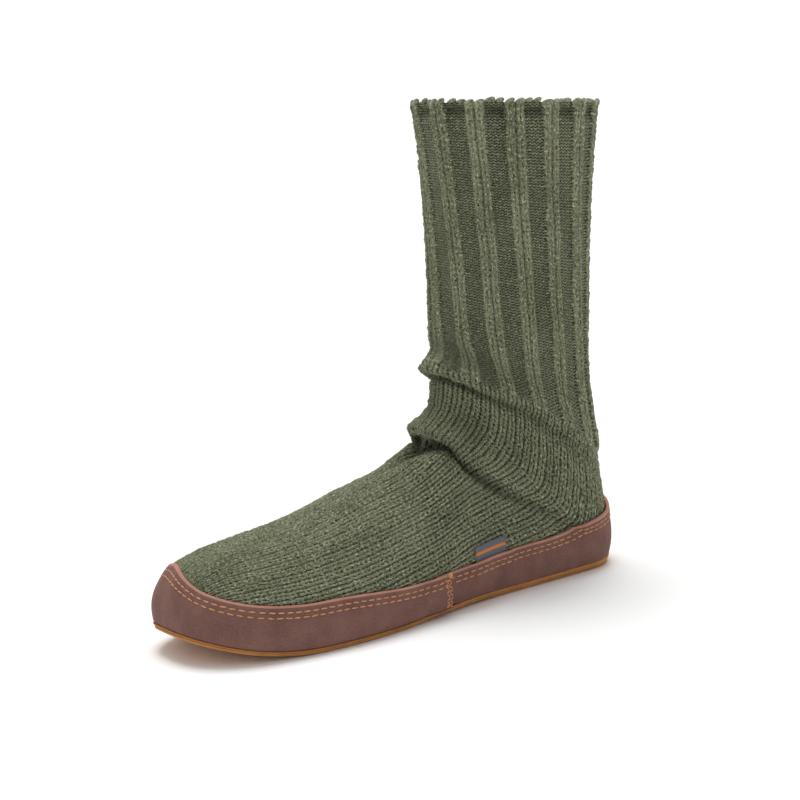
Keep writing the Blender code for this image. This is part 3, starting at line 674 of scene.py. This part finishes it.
def band(places, shares):
    """Points up the sock's side from the sole (share 0) to the rand's edge (share 1), and
    the outward step off them."""
    grid = []
    for place in places:
        floor = sole_edge(place)[2] + CLEARANCE
        height = rand_height(place)
        grid.append([side_point(OUTER_FORM, place, floor + share * height) for share in shares])
    grid = np.array(grid)
    normals = np.cross(np.gradient(grid, axis=0), np.gradient(grid, axis=1))
    normals /= np.linalg.norm(normals, axis=2, keepdims=True)
    rays = np.array([np.array(side_ray(place)[1]) for place in places])
    normals *= np.sign(np.einsum("ijk,ik->ij", normals, rays))[:, :, None]
    level = normals.copy()
    level[:, :, 2] *= ease((np.array(shares) - 0.05) / 0.3)
    return grid, level / np.sum(level * normals, axis=2, keepdims=True)


print("edge travel, one side: %.0f mm" % (EDGE_TRAVEL * 1000))

# %% [markdown]
# ## The rand
# Two strips of nubuck wrap the foot. They meet at each side, where the front one lies over
# the heel one, and both are cut raw at the top. The strip is a grid laid round its own
# outline: up the outside, over the cut edge and down behind. Two rows of stitching press
# a soft groove into it, and the leather puckers a little between stitches.

# %% Rand helpers
STITCH_PITCH = 0.0046
STITCH_ROWS = (0.0032, 0.0058)       # below the cut edge
STRIP_STEP = 0.0009                  # between points along a strip
BULGE, GROOVE, PUCKER, WAVE = 0.0007, 0.00022, 0.00010, 0.00012
TAG_ALONG, TAG_WIDTH, TAG_THICKNESS = 0.0995, 0.0225, 0.0010
SEAM_PLACE = side_place(SEAM_ALONG)


def fade_out(place, start, end):
    """1 up to the start and 0 from the end on."""
    return 1.0 - float(ease((place - start) / (end - start)))


def lap_share(place):
    """1 where the front strip lies over the heel strip."""
    start, end = [side_place(SEAM_ALONG + laps * LAP) for laps in (1.1, 2.2)]
    return fade_out(abs(place), start, end)


def tag_share(place):
    """1 where the heel strip lies over the tab."""
    centre, start, end = [side_place(TAG_ALONG + part * TAG_WIDTH) for part in (0.0, 0.55, 0.8)]
    return fade_out(abs(place - centre), start - centre, end - centre)


def strip_offset(part, place, share):
    """How far the inner face of a rand strip lies off the sock."""
    if part == "front":
        return WRAP_GAP + lap_share(place) * (SKIVED + CLEARANCE)
    lift = float(ease((share - 0.35) / 0.4)) * (TAG_THICKNESS + CLEARANCE)
    return WRAP_GAP + tag_share(place) * lift


def strip_thickness(part, place):
    """The heel strip is skived thin where the front one will cover it."""
    if part == "front":
        return LEATHER
    full = fade_out(abs(place), side_place(SEAM_ALONG - LAP), side_place(SEAM_ALONG - 0.0012))
    return SKIVED + full * (LEATHER - SKIVED)


def bulge(share):
    """How far the leather swells out between its foot and its edge."""
    return BULGE * np.sin(math.pi * np.clip(share / 0.75, 0.0, 1.0))


def signed(place):
    """Places past the toe, 1 to 2, are on the inner side."""
    return place - 2.0 if place > 1.0 else place


def strip_places(part):
    end, step = side_place(SEAM_ALONG + LAP), STRIP_STEP / EDGE_TRAVEL
    first, last = (-end, end) if part == "heel" else (SEAM_PLACE, 2.0 - SEAM_PLACE)
    return [signed(place) for place in np.arange(first, last + step / 2, step)]


# %% Lay a strip of leather
def leather_strip(name, part, node):
    places = strip_places(part)
    shares = np.concatenate([np.linspace(0.0, 0.55, 10), np.linspace(0.58, 1.0, 22)])
    grid, step_out = band(places, shares)
    run = np.arange(len(places)) * STRIP_STEP

    # what sewing, handling and cutting do to the outer face
    height = np.array([rand_height(place) for place in places])
    below = (1.0 - shares)[None, :] * height[:, None]
    pucker = PUCKER * np.cos(2 * math.pi * run / STITCH_PITCH)[:, None]
    pressed = sum(np.exp(-((below - row) / 0.0009) ** 2) for row in STITCH_ROWS)
    between = np.exp(-((below - 0.0045) / 0.0040) ** 2)
    wave = WAVE * between * np.cos(2 * math.pi * run / (STITCH_PITCH * 3.1))[:, None]
    ends = np.minimum(np.arange(len(places)), np.arange(len(places))[::-1])[:, None] / 3.0
    rounded = 0.0003 * (1.0 - np.clip(ends, 0.0, 1.0)) ** 2
    soft_foot = 0.0005 * (1.0 - ease(shares / 0.06))
    worn = bulge(shares) - pressed * (GROOVE - pucker) + wave - rounded - soft_foot

    near = np.array([[strip_offset(part, place, share) for share in shares] for place in places])
    thick = np.array([strip_thickness(part, place) for place in places])[:, None]
    outside = grid + step_out * (near + thick + worn)[:, :, None]
    inside = grid + step_out * near[:, :, None]
    edge_out, edge_in = outside[:, -1], inside[:, -1]
    rise = np.array([0.0, 0.0, 0.00025])
    over = [edge_out * (1 - t) + edge_in * t + rise * math.sin(math.pi * t)
            for t in (0.15, 0.5, 0.85)]
    outline = [outside[:, k] for k in range(len(shares))] + over
    outline += [inside[:, k] for k in range(len(shares) - 1, -1, -3)]
    steps = [float(np.linalg.norm(b[0] - a[0])) for a, b in zip(outline, outline[1:])]
    reach = np.cumsum([0.0] + steps + [0.002])

    bm = wrapped_grid(np.stack(outline, axis=1))
    cut_from, cut_to = len(shares) - 3, len(shares) + 3
    for face in bm.faces:
        columns = [vert.index % (len(outline) + 1) for vert in face.verts]
        face.material_index = int(cut_from <= min(columns) and max(columns) <= cut_to)
    lay_uv(bm, "leather", len(outline), lambda row, column: (run[row] * 1000, reach[column] * 1000))
    for face in seal(bm, fill=True):
        face.material_index = 1
    return finish_piece(name, bm, "nubuck", node)


rand_front = leather_strip("front_rand_leather", "front", "rand_front")
rand_heel = leather_strip("heel_rand_leather", "heel", "rand_heel")

# %% [markdown]
# ## Sewing
# Thick waxed thread holds the rand. Each stitch is a bead of thread that dips into the
# leather at both ends. Two rows run all round below the cut edge, the side seams are laced
# with heavier thread, and the lacing ends in a knot on the rand's edge.

# %% Topstitching
STITCH = (STITCH_PITCH * 0.86, 0.00090, 0.0009)      # length, width, height
STITCH_SUNK = 0.00015
SEAM_CLEAR = 0.0022                                  # no topstitch this near the seam


def surface_frame(part, place, below):
    """Point on the rand's outer face at a distance below its edge, its direction along
    the edge and its outward direction."""
    share = 1.0 - below / rand_height(place)
    delta = 0.0008 / EDGE_TRAVEL
    grid, step_out = band([place - delta, place, place + delta],
                          [share - 0.03, share, share + 0.03])
    off = strip_offset(part, place, share) + strip_thickness(part, place) + bulge(share)
    along = Vector(grid[2, 1] - grid[0, 1]).normalized()
    out = Vector(step_out[1, 1]).normalized()
    return Vector(grid[1, 1] + step_out[1, 1] * off), along, out


bm = bmesh.new()
for part, first, last in (("front", SEAM_PLACE, 2.0 - SEAM_PLACE),
                          ("heel", -SEAM_PLACE, SEAM_PLACE)):
    stitches = int((last - first) * EDGE_TRAVEL / STITCH_PITCH)
    for row, below in enumerate(STITCH_ROWS):
        for number in range(stitches):
            place = signed(first + (number + 0.5 + 0.25 * row) / stitches * (last - first))
            if abs(abs(place) - SEAM_PLACE) * EDGE_TRAVEL < SEAM_CLEAR:
                continue
            middle, along, out = surface_frame(part, place, below)
            bead(bm, middle - out * STITCH_SUNK, along, out, STITCH,
                 turn=math.radians(UNEVEN.normal(0, 3)))
topstitching = finish_piece("topstitching", bm, "nubuck")

# %% Lacing and knots at the side seams
LACE, KNOT = (0.0027, 0.0008, 0.0009), (0.0036, 0.0016, 0.0022)
RUNGS, LACE_COLUMNS, LACE_LEAN = 9, (0.0014, 0.0036), 38
bm = bmesh.new()
for side in (1.0, -1.0):
    for number in range(RUNGS):
        below = 0.0030 + (rand_height(SEAM_PLACE) - 0.0055) * number / (RUNGS - 1)
        for shift in LACE_COLUMNS:
            frame_there = surface_frame("front", side * side_place(SEAM_ALONG + shift), below)
            bead(bm, *frame_there, LACE, turn=math.radians(LACE_LEAN if number % 2 else -LACE_LEAN))
    middle, along, out = surface_frame("front", side * side_place(SEAM_ALONG + 0.0012), 0.0004)
    for turn in (20, 80, 140):
        bead(bm, middle + out * 0.0004, along, out, KNOT, turn=math.radians(turn))
lacing = finish_piece("seam_lacing", bm, "nubuck")

# %% [markdown]
# ## Sole and footbed
# The sole is one piece of tan suede, cut to the outline of the rand. The footbed is soft
# foam with a napped face. Both are a loop round the foot, repeated inward to the spine.

# %% Plates
LOOPS = (1.0, 0.985, 0.965, 0.94, 0.90, 0.80, 0.65, 0.5, 0.35, 0.2, 0.1, 0.0)
ring_places = [2.0 * step / 288 - 1.0 for step in range(288)]
ring_origins = [np.array(side_ray(place)[0]) for place in ring_places]
sole_edges = [sole_edge(place) for place in ring_places]


def plate(name, slot_name, node, lower, upper):
    """A plate between two faces. Each is given by its edge and its height."""
    faces = [(*lower, loop) for loop in LOOPS[::-1]] + [(*upper, loop) for loop in LOOPS]
    rows = []
    for edge, height, loop in faces:
        level = [origin[:2] + loop * (point[:2] - origin[:2])
                 for origin, point in zip(ring_origins, edge)]
        rows.append([(x, y, float(height(y, loop))) for x, y in level])
    bm = wrapped_grid(rows)
    seal(bm)
    return finish_piece(name, bm, slot_name, node)


def rounded_edge(loop):
    """0 inside the sole, 1 on its edge."""
    return ease((loop - 0.93) / 0.07)


suede_sole = plate(
    "suede_sole", "suede", "outsole",
    (sole_edges, lambda y, loop: sole_bottom(y) + 0.0006 * rounded_edge(loop)),
    (sole_edges, lambda y, loop: sole_top(y) - 0.0002 * rounded_edge(loop)))

# %% [markdown]
# The suede is cut a little too large and its edge is turned up over the foot of the rand,
# where it shows as a thin tan line, wider round the heel. The lip is a small rounded strip
# laid round the foot, a little proud of the leather.

# %% Turned-up edge of the suede
LIP_SHARE, LIP_THICKNESS = 0.070, 0.0005     # part of the rand's height, metres
# share of the climb, thicknesses off the leather
LIP_OUTLINE = ((-0.8, 0.0), (-0.4, 1.0), (0.2, 1.3), (0.8, 1.0), (1.0, 0.3), (0.9, -1.0),
               (0.0, -2.0))
foot_grid, foot_out = band(ring_places, [0.0, LIP_SHARE])
rows = []
for place, (foot, top), (out, _) in zip(ring_places, foot_grid, foot_out):
    climb = (top - foot) * (0.25 + 0.75 * float(ease((foot[1] + 0.13) / 0.10)))
    lap = lap_share(place) if abs(place) > SEAM_PLACE else 0.0
    side = SIDE_BUILD + lap * (SKIVED + CLEARANCE)
    rows.append([foot + climb * share + out * (side + off * LIP_THICKNESS)
                 for share, off in LIP_OUTLINE])
bm = wrapped_grid(rows + rows[:1])
seal(bm)
suede_lip = finish_piece("suede_lip", bm, "suede")

# %% Footbed
BED_EASE, BED_THICKNESS, BED_RIM = 0.0015, 0.006, 0.003


def cup(y, loop):
    """Height of the footbed's rim, which rises round the heel."""
    return BED_RIM * ease((loop - 0.5) / 0.5) * ease((y + 0.10) / 0.08)


bed_low, bed_high = [], []
for place in ring_places:
    inward = np.array(side_ray(place)[1]) * BED_EASE
    floor = sole_edge(place)[2] + CLEARANCE
    bed_low.append(side_point(INNER_FORM, place, floor + 0.001) - inward)
    y = side_point(INNER_FORM, place, floor + BED_THICKNESS)[1]
    bed_high.append(side_point(INNER_FORM, place, floor + BED_THICKNESS + cup(y, 1.0)) - inward)
footbed = plate("footbed", "foam", "insole",
                (bed_low, lambda y, loop: sole_top(y) + 0.0005),
                (bed_high, lambda y, loop: sole_top(y) + 0.0005 + BED_THICKNESS + cup(y, loop)))

# %% [markdown]
# ## The tab
# A short loop of woven tape is caught behind the rand, folded over at the top. It carries
# nothing but one woven stripe.

# %% Tab
TAG_SHOWN, TAG_TUCK = 0.008, 0.005
TAG_COLUMNS, TAG_ROWS = 25, 21
centre = side_place(TAG_ALONG)
half = side_place(TAG_ALONG + TAG_WIDTH / 2) - centre
top = rand_height(centre)
grid, step_out = band(list(np.linspace(centre - half, centre + half, TAG_COLUMNS)),
                      np.linspace(top - TAG_TUCK, top + TAG_SHOWN, TAG_ROWS) / top)
belly = 0.00024 * np.sin(math.pi * np.linspace(0, 1, TAG_ROWS))[None, :, None] ** 2
outside = grid + step_out * (WRAP_GAP + TAG_THICKNESS - 0.0001 + belly)
inside = grid + step_out * (WRAP_GAP - 0.0002)
fold = 0.5 * (outside[:, -1] + inside[:, -1]) + np.array([0.0, 0.0, 0.0005])
outline = [outside[:, k] for k in range(TAG_ROWS)] + [fold]
outline += [inside[:, k] for k in range(TAG_ROWS - 1, -1, -2)]
bm = wrapped_grid(np.stack(outline, axis=1))
lay_uv(bm, "tape", len(outline), lambda row, column: (row / 24 * 18.0, column / 20 * 13.0))
seal(bm, fill=True)
tab = finish_piece("tape_tab", bm, "tape", "tag")

# %% [markdown]
# ## Materials
# Each material starts from its real colour in sRGB. One function turns a hex value into the
# linear numbers that the shader works in, and one adds a node with its settings and links.

# %% Colour and nodes
def linear(hex_code):
    values = [int(hex_code[i:i + 2], 16) / 255 for i in (1, 3, 5)]
    return [v / 12.92 if v <= 0.04045 else ((v + 0.055) / 1.055) ** 2.4 for v in values] + [1.0]


def new_material(name):
    surface = bpy.data.materials.new(name)
    surface.use_nodes = True
    return surface


def put(surface, node, inputs):
    """Sets a node's inputs to values, or links outputs to them."""
    for key, value in inputs.items():
        if isinstance(value, bpy.types.NodeSocket):
            surface.node_tree.links.new(value, node.inputs[key])
        else:
            node.inputs[key].default_value = value


def add_node(surface, kind, inputs, out=0, **settings):
    """Adds a node with its settings, values and links, and returns one of its outputs."""
    node = surface.node_tree.nodes.new("ShaderNode" + kind)
    for key, value in settings.items():
        setattr(node, key, value)
    put(surface, node, inputs)
    return node.outputs[out]


def shade_with(surface, inputs):
    """Puts values and links on the inputs of a material's shader."""
    put(surface, surface.node_tree.nodes["Principled BSDF"], inputs)


# %% [markdown]
# ### Ragg wool
# Ragg yarn is spun from wool dyed in several colours, so each strand is flecked: olive and
# sage with a little cream, blue-green and brown. The flecks run along the yarn. Wool is
# matt and furry at its edge, which the sheen gives. The shade between its strands is
# painted into the colour. Where the knitting shows purl, rows of waved yarn are drawn by
# the material, two to a course, as painted light on their crests and painted shade between.

# %% Colour of ragg yarn
# flecks: scale in a millimetre, offset, where they begin and are full, colour, strength
FLECKS = (
    (1.05, 3.0, 0.57, 0.64, "#C4C3A6", 0.85),
    (0.80, 9.0, 0.59, 0.67, "#4C7A62", 0.65),
    (0.85, 17.0, 0.62, 0.69, "#86653F", 0.75),
    (1.10, 25.0, 0.57, 0.64, "#262A1B", 0.85),
)
WALE_MM, COURSE_MM = 5.0, 3.1
# painted shade between strands: the colour there keeps only this share
PAINTED_GAP_BRIGHTNESS = 0.13          # what is left of the colour between strands


def ragg_colour(wool, strand, dark, light):
    """Two shades of the ground colour in broad and fine spots, and the flecks over them."""
    broad = add_node(wool, "TexNoise", {"Vector": strand, "Scale": 0.06, "Detail": 2.0})
    quiet = add_node(wool, "Math", {0: broad, 1: 0.35}, operation="MULTIPLY")
    fine = add_node(wool, "TexNoise", {"Vector": strand, "Scale": 1.1, "Detail": 3.0,
                                       "Roughness": 0.8})
    both = add_node(wool, "Math", {0: quiet, 1: fine}, operation="ADD")
    spotted = add_node(wool, "MapRange", {"Value": both, 1: 0.52, 2: 0.83})
    base = add_node(wool, "Mix", {0: spotted, 6: linear(dark), 7: linear(light)}, out=2,
                    data_type="RGBA")
    for scale, offset, start, end, colour, amount in FLECKS:
        moved = add_node(wool, "Mapping", {"Vector": strand, "Location": (offset, offset, 0.0)})
        spots = add_node(wool, "TexNoise", {"Vector": moved, "Scale": scale, "Detail": 2.0,
                                            "Roughness": 0.6})
        mask = add_node(wool, "MapRange", {"Value": spots, 1: start, 2: end, 4: amount})
        base = add_node(wool, "Mix", {0: mask, 6: base, 7: linear(colour)}, out=2,
                        data_type="RGBA")
    return base


# %% Waves of the purl
def purl_waves(wool, uv):
    """Rows of waved yarn: two crests to a wale, two rows to a course. They give the purl its
    painted light and shade, and its bump.
    """
    wales = add_node(wool, "SeparateXYZ", {0: uv}, out="X")
    courses = add_node(wool, "SeparateXYZ", {0: uv}, out="Y")
    turn = add_node(wool, "Math", {0: wales, 1: 4 * math.pi}, operation="MULTIPLY")
    wave = add_node(wool, "Math", {0: turn}, operation="COSINE")
    sway = add_node(wool, "Math", {0: wave, 1: 0.42}, operation="MULTIPLY")
    rows = add_node(wool, "Math", {0: courses, 1: 4.0}, operation="MULTIPLY")
    waved = add_node(wool, "Math", {0: rows, 1: sway}, operation="SUBTRACT")
    saw = add_node(wool, "Math", {0: waved, 1: 1.0}, operation="PINGPONG")
    return add_node(wool, "MapRange", {"Value": saw, 1: 0.08, 2: 0.72, 3: -0.08, 4: 0.92})


# %% Wool material
def wool_material(name, dark, light):
    wool = new_material(name)
    uv = add_node(wool, "UVMap", {}, uv_map="yarn")
    yarn = add_node(wool, "Mapping", {"Vector": uv, "Scale": (WALE_MM, COURSE_MM, 1.0)})
    strand = add_node(wool, "Mapping", {"Vector": yarn, "Scale": (1.0, 0.55, 1.0)})
    base = ragg_colour(wool, strand, dark, light)
    relief, purled, shade = [add_node(wool, "Attribute", {}, out="Fac", attribute_name=mark)
                             for mark in ("relief", "purl", "shade")]
    shown = add_node(wool, "Mix", {0: purled, 2: relief, 3: purl_waves(wool, uv)})

    # painted shade between the strands, along a ragged line, with the painted shade mark over it
    ragged = add_node(wool, "TexNoise", {"Vector": strand, "Scale": 1.5, "Detail": 2.0})
    nudge = add_node(wool, "MapRange", {"Value": ragged, 1: 0.3, 2: 0.7, 3: -0.26, 4: 0.26})
    level = add_node(wool, "Math", {0: shown, 1: nudge}, operation="ADD")
    lit = add_node(wool, "MapRange", {"Value": level, 1: 0.06, 2: 0.80, 3: PAINTED_GAP_BRIGHTNESS},
                   interpolation_type="SMOOTHSTEP")
    lit = add_node(wool, "Math", {0: lit, 1: shade}, operation="MULTIPLY")
    grey = add_node(wool, "CombineColor", {0: lit, 1: lit, 2: lit})
    base = add_node(wool, "Mix", {0: 1.0, 6: base, 7: grey}, out=2, data_type="RGBA",
                    blend_type="MULTIPLY")
    hairs = add_node(wool, "TexNoise", {"Vector": strand, "Scale": 4.0, "Detail": 5.0,
                                        "Roughness": 0.75})
    loft = add_node(wool, "Math", {0: hairs, 1: shown}, operation="ADD")
    bump = add_node(wool, "Bump", {"Height": loft, "Strength": 0.7, "Distance": 0.0006})
    shade_with(wool, {"Base Color": base, "Normal": bump, "Roughness": 1.0,
                      "Specular IOR Level": 0.1, "Sheen Weight": 0.25,
                      "Sheen Roughness": 0.6, "Sheen Tint": linear("#C9CCB0")})
    return wool


# %% Wool on its pieces
ragg = wool_material("ragg wool, knitted", "#565B41", "#96997E")
for piece in (foot_knit, ankle_knit, leg_knit, lining):
    piece.data.materials.append(ragg)
loose = new_material("loose wool fibre")
shade_with(loose, {"Base Color": linear("#9A9D80"), "Roughness": 1.0})
fuzz.data.materials.append(loose)
print("wool nodes:", len(ragg.node_tree.nodes))

# %% [markdown]
# ### Nubuck, suede and their cut edges
# Nubuck is leather sanded on its grain side: matt, finely napped and cloudy where the nap
# lies two ways. Suede is the napped flesh side, with longer fibres. A cut edge shows the
# paler, pinker core of the hide.

# %% Leather
CLOUD_MM = 14.0


def napped_leather(name, dark, mid, light, grain_mm, uv_map, sheen, strength):
    """Napped hide. Its patterns follow a strip's own UV in mm, or else the object."""
    hide = new_material(name)
    if uv_map:
        spot, unit = add_node(hide, "UVMap", {}, uv_map=uv_map), 1.0
    else:
        spot, unit = add_node(hide, "TexCoord", {}, out="Object"), 1000.0
    cloud = add_node(hide, "TexNoise", {"Vector": spot, "Scale": unit / CLOUD_MM,
                                        "Detail": 4.0, "Roughness": 0.6})
    grain = add_node(hide, "TexNoise", {"Vector": spot, "Scale": unit / grain_mm,
                                        "Detail": 5.0, "Roughness": 0.7})
    clouded = add_node(hide, "MapRange", {"Value": cloud, 1: 0.32, 2: 0.68})
    base = add_node(hide, "Mix", {0: clouded, 6: linear(dark), 7: linear(mid)}, out=2,
                    data_type="RGBA")
    speck = add_node(hide, "MapRange", {"Value": grain, 1: 0.50, 2: 0.72, 4: 0.5})
    base = add_node(hide, "Mix", {0: speck, 6: base, 7: linear(light)}, out=2,
                    data_type="RGBA")
    bump = add_node(hide, "Bump", {"Height": grain, "Strength": strength, "Distance": 0.0003})
    rough = add_node(hide, "MapRange", {"Value": cloud, 1: 0.3, 2: 0.7, 3: 0.92, 4: 0.74})
    shade_with(hide, {"Base Color": base, "Normal": bump, "Roughness": rough,
                      "Specular IOR Level": 0.3, "Sheen Weight": sheen,
                      "Sheen Roughness": 0.5, "Sheen Tint": linear(light)})
    return hide


nubuck = napped_leather("brown nubuck, sanded", "#664740", "#78564D", "#98766A", 0.9,
                        "leather", 0.2, 0.35)
cut_edge = napped_leather("raw cut leather edge", "#A26F5F", "#B98472", "#CF9F8C", 0.5,
                          "leather", 0.1, 0.6)
suede = napped_leather("tan suede", "#A06A38", "#BC8148", "#D39D64", 0.6, None, 0.3, 0.7)
for strip in (rand_front, rand_heel):
    strip.data.materials.append(nubuck)
    strip.data.materials.append(cut_edge)
suede_sole.data.materials.append(suede)
suede_lip.data.materials.append(suede)
print("hides:", nubuck.name, "|", cut_edge.name, "|", suede.name)

# %% [markdown]
# ### Thread, fleece and tape
# Thread, fleece and the fat loops of the cuff are plain fibre: two shades of one colour in
# small spots, with a soft bump. The tape is woven, so its light and dark run in two ways
# across each other.

# %% Thread, fleece and cuff loops
def plain_fibre(name, dark, light, size_mm, strength, sheen, roughness=0.8, hair_mm=None,
                depth=0.0003):
    """Fibre with spots of one size. Its bump follows them, or finer hairs if given."""
    fibre = new_material(name)
    spot = add_node(fibre, "TexCoord", {}, out="Object")
    flecks, hairs = [add_node(fibre, "TexNoise", {"Vector": spot, "Scale": 1000.0 / size,
                                                  "Detail": 4.0})
                     for size in (size_mm, hair_mm or size_mm)]
    mixed = add_node(fibre, "MapRange", {"Value": flecks, 1: 0.35, 2: 0.65})
    base = add_node(fibre, "Mix", {0: mixed, 6: linear(dark), 7: linear(light)}, out=2,
                    data_type="RGBA")
    bump = add_node(fibre, "Bump", {"Height": hairs, "Strength": strength, "Distance": depth})
    shade_with(fibre, {"Base Color": base, "Normal": bump, "Roughness": roughness,
                       "Sheen Weight": sheen})
    return fibre


thread = plain_fibre("waxed linen thread", "#AA6E44", "#CF9868", 0.8, 0.3, 0.1)
felt = plain_fibre("brushed fleece", "#5E5F4C", "#86866E", 1.5, 0.8, 0.4)
edge_wool = plain_fibre("ragg wool, cast off", "#50553B", "#989C7E", 10 / 7, 0.6, 0.35,
                        roughness=1.0, hair_mm=0.4, depth=0.0004)
for piece, material in ((topstitching, thread), (lacing, thread), (footbed, felt),
                        (cast_off, edge_wool)):
    piece.data.materials.append(material)
print("fibres:", thread.name, "|", felt.name, "|", edge_wool.name)

# %% Tape
STRIPE_UP_MM = 9.3
tape = new_material("grey woven tape")
uv = add_node(tape, "UVMap", {}, uv_map="tape")
weft = add_node(tape, "TexWave", {"Vector": uv, "Scale": 0.55, "Distortion": 0.4}, out="Fac",
                bands_direction="Y")
warp = add_node(tape, "TexWave", {"Vector": uv, "Scale": 0.45, "Distortion": 0.4}, out="Fac",
                bands_direction="X")
weave = add_node(tape, "Math", {0: weft, 1: warp}, operation="MULTIPLY")
ground = add_node(tape, "Mix", {0: weave, 6: linear("#50535A"), 7: linear("#7C7F87")}, out=2,
                  data_type="RGBA")
height_mm = add_node(tape, "SeparateXYZ", {0: uv}, out="Y")
from_middle = add_node(tape, "Math", {0: height_mm, 1: STRIPE_UP_MM}, operation="SUBTRACT")
distance = add_node(tape, "Math", {0: from_middle}, operation="ABSOLUTE")
stripe = add_node(tape, "MapRange", {"Value": distance, 1: 0.75, 2: 0.95, 3: 1.0, 4: 0.0})
woven = add_node(tape, "Mix", {0: stripe, 6: ground, 7: linear("#C4752E")}, out=2,
                 data_type="RGBA")
bump = add_node(tape, "Bump", {"Height": weave, "Strength": 0.5, "Distance": 0.0002})
shade_with(tape, {"Base Color": woven, "Normal": bump, "Roughness": 0.75})
tab.data.materials.append(tape)
print("tape nodes:", len(tape.node_tree.nodes))

# %% [markdown]
# ## Floor, light and camera
# The floor is a wide white disc. A white sky lights the sock evenly, and a large soft lamp
# high over the toe gives the folds their shadow. The camera stands low in front of the
# outer side, rolled a little, as in the photograph.

# %% Floor and lights
bm = bmesh.new()
bmesh.ops.create_circle(bm, cap_ends=True, segments=64, radius=12.0)
floor = add_object("floor", mesh_from("floor", bm))
paper = new_material("white studio floor")
shade_with(paper, {"Base Color": linear("#FFFFFF"), "Roughness": 0.9, "Specular IOR Level": 0.1})
floor.data.materials.append(paper)

world = bpy.data.worlds.new("studio")
bpy.context.scene.world = world
world.use_nodes = True
sky = world.node_tree.nodes["Background"]
sky.inputs["Color"].default_value = (1.0, 1.0, 1.0, 1.0)
sky.inputs["Strength"].default_value = 0.62

light = bpy.data.lights.new("overhead softbox", "SUN")
light.energy = 1.95
light.angle = math.radians(34)
lamp = add_object("overhead softbox", light)
lamp.rotation_euler = Vector((-0.24, 0.12, 1.0)).to_track_quat("Z", "Y").to_euler()
print("sky", sky.inputs["Strength"].default_value, "lamp", light.energy)

# %% Camera
AZIMUTH, ELEVATION, ROLL = [math.radians(angle) for angle in (56.83, 12.68, 4.25)]
TARGET, DISTANCE = Vector((-0.00679, -0.08953, 0.11211)), 1.5
toward = Vector((math.sin(AZIMUTH) * math.cos(ELEVATION),
                 -math.cos(AZIMUTH) * math.cos(ELEVATION), math.sin(ELEVATION)))
level = (-toward).cross(Vector((0, 0, 1))).normalized()
upward = level.cross(-toward)
right = level * math.cos(ROLL) - upward * math.sin(ROLL)
up = level * math.sin(ROLL) + upward * math.cos(ROLL)
lens = bpy.data.cameras.new("camera")
lens.lens = 123.0
lens.clip_start = 0.05
camera = add_object("camera", lens)
turn = Matrix((right, up, toward)).transposed().to_4x4()
camera.matrix_world = Matrix.Translation(TARGET + toward * DISTANCE) @ turn
bpy.context.scene.camera = camera
bpy.context.scene.view_settings.view_transform = "Standard"
print("camera at", [round(value, 3) for value in camera.matrix_world.translation])
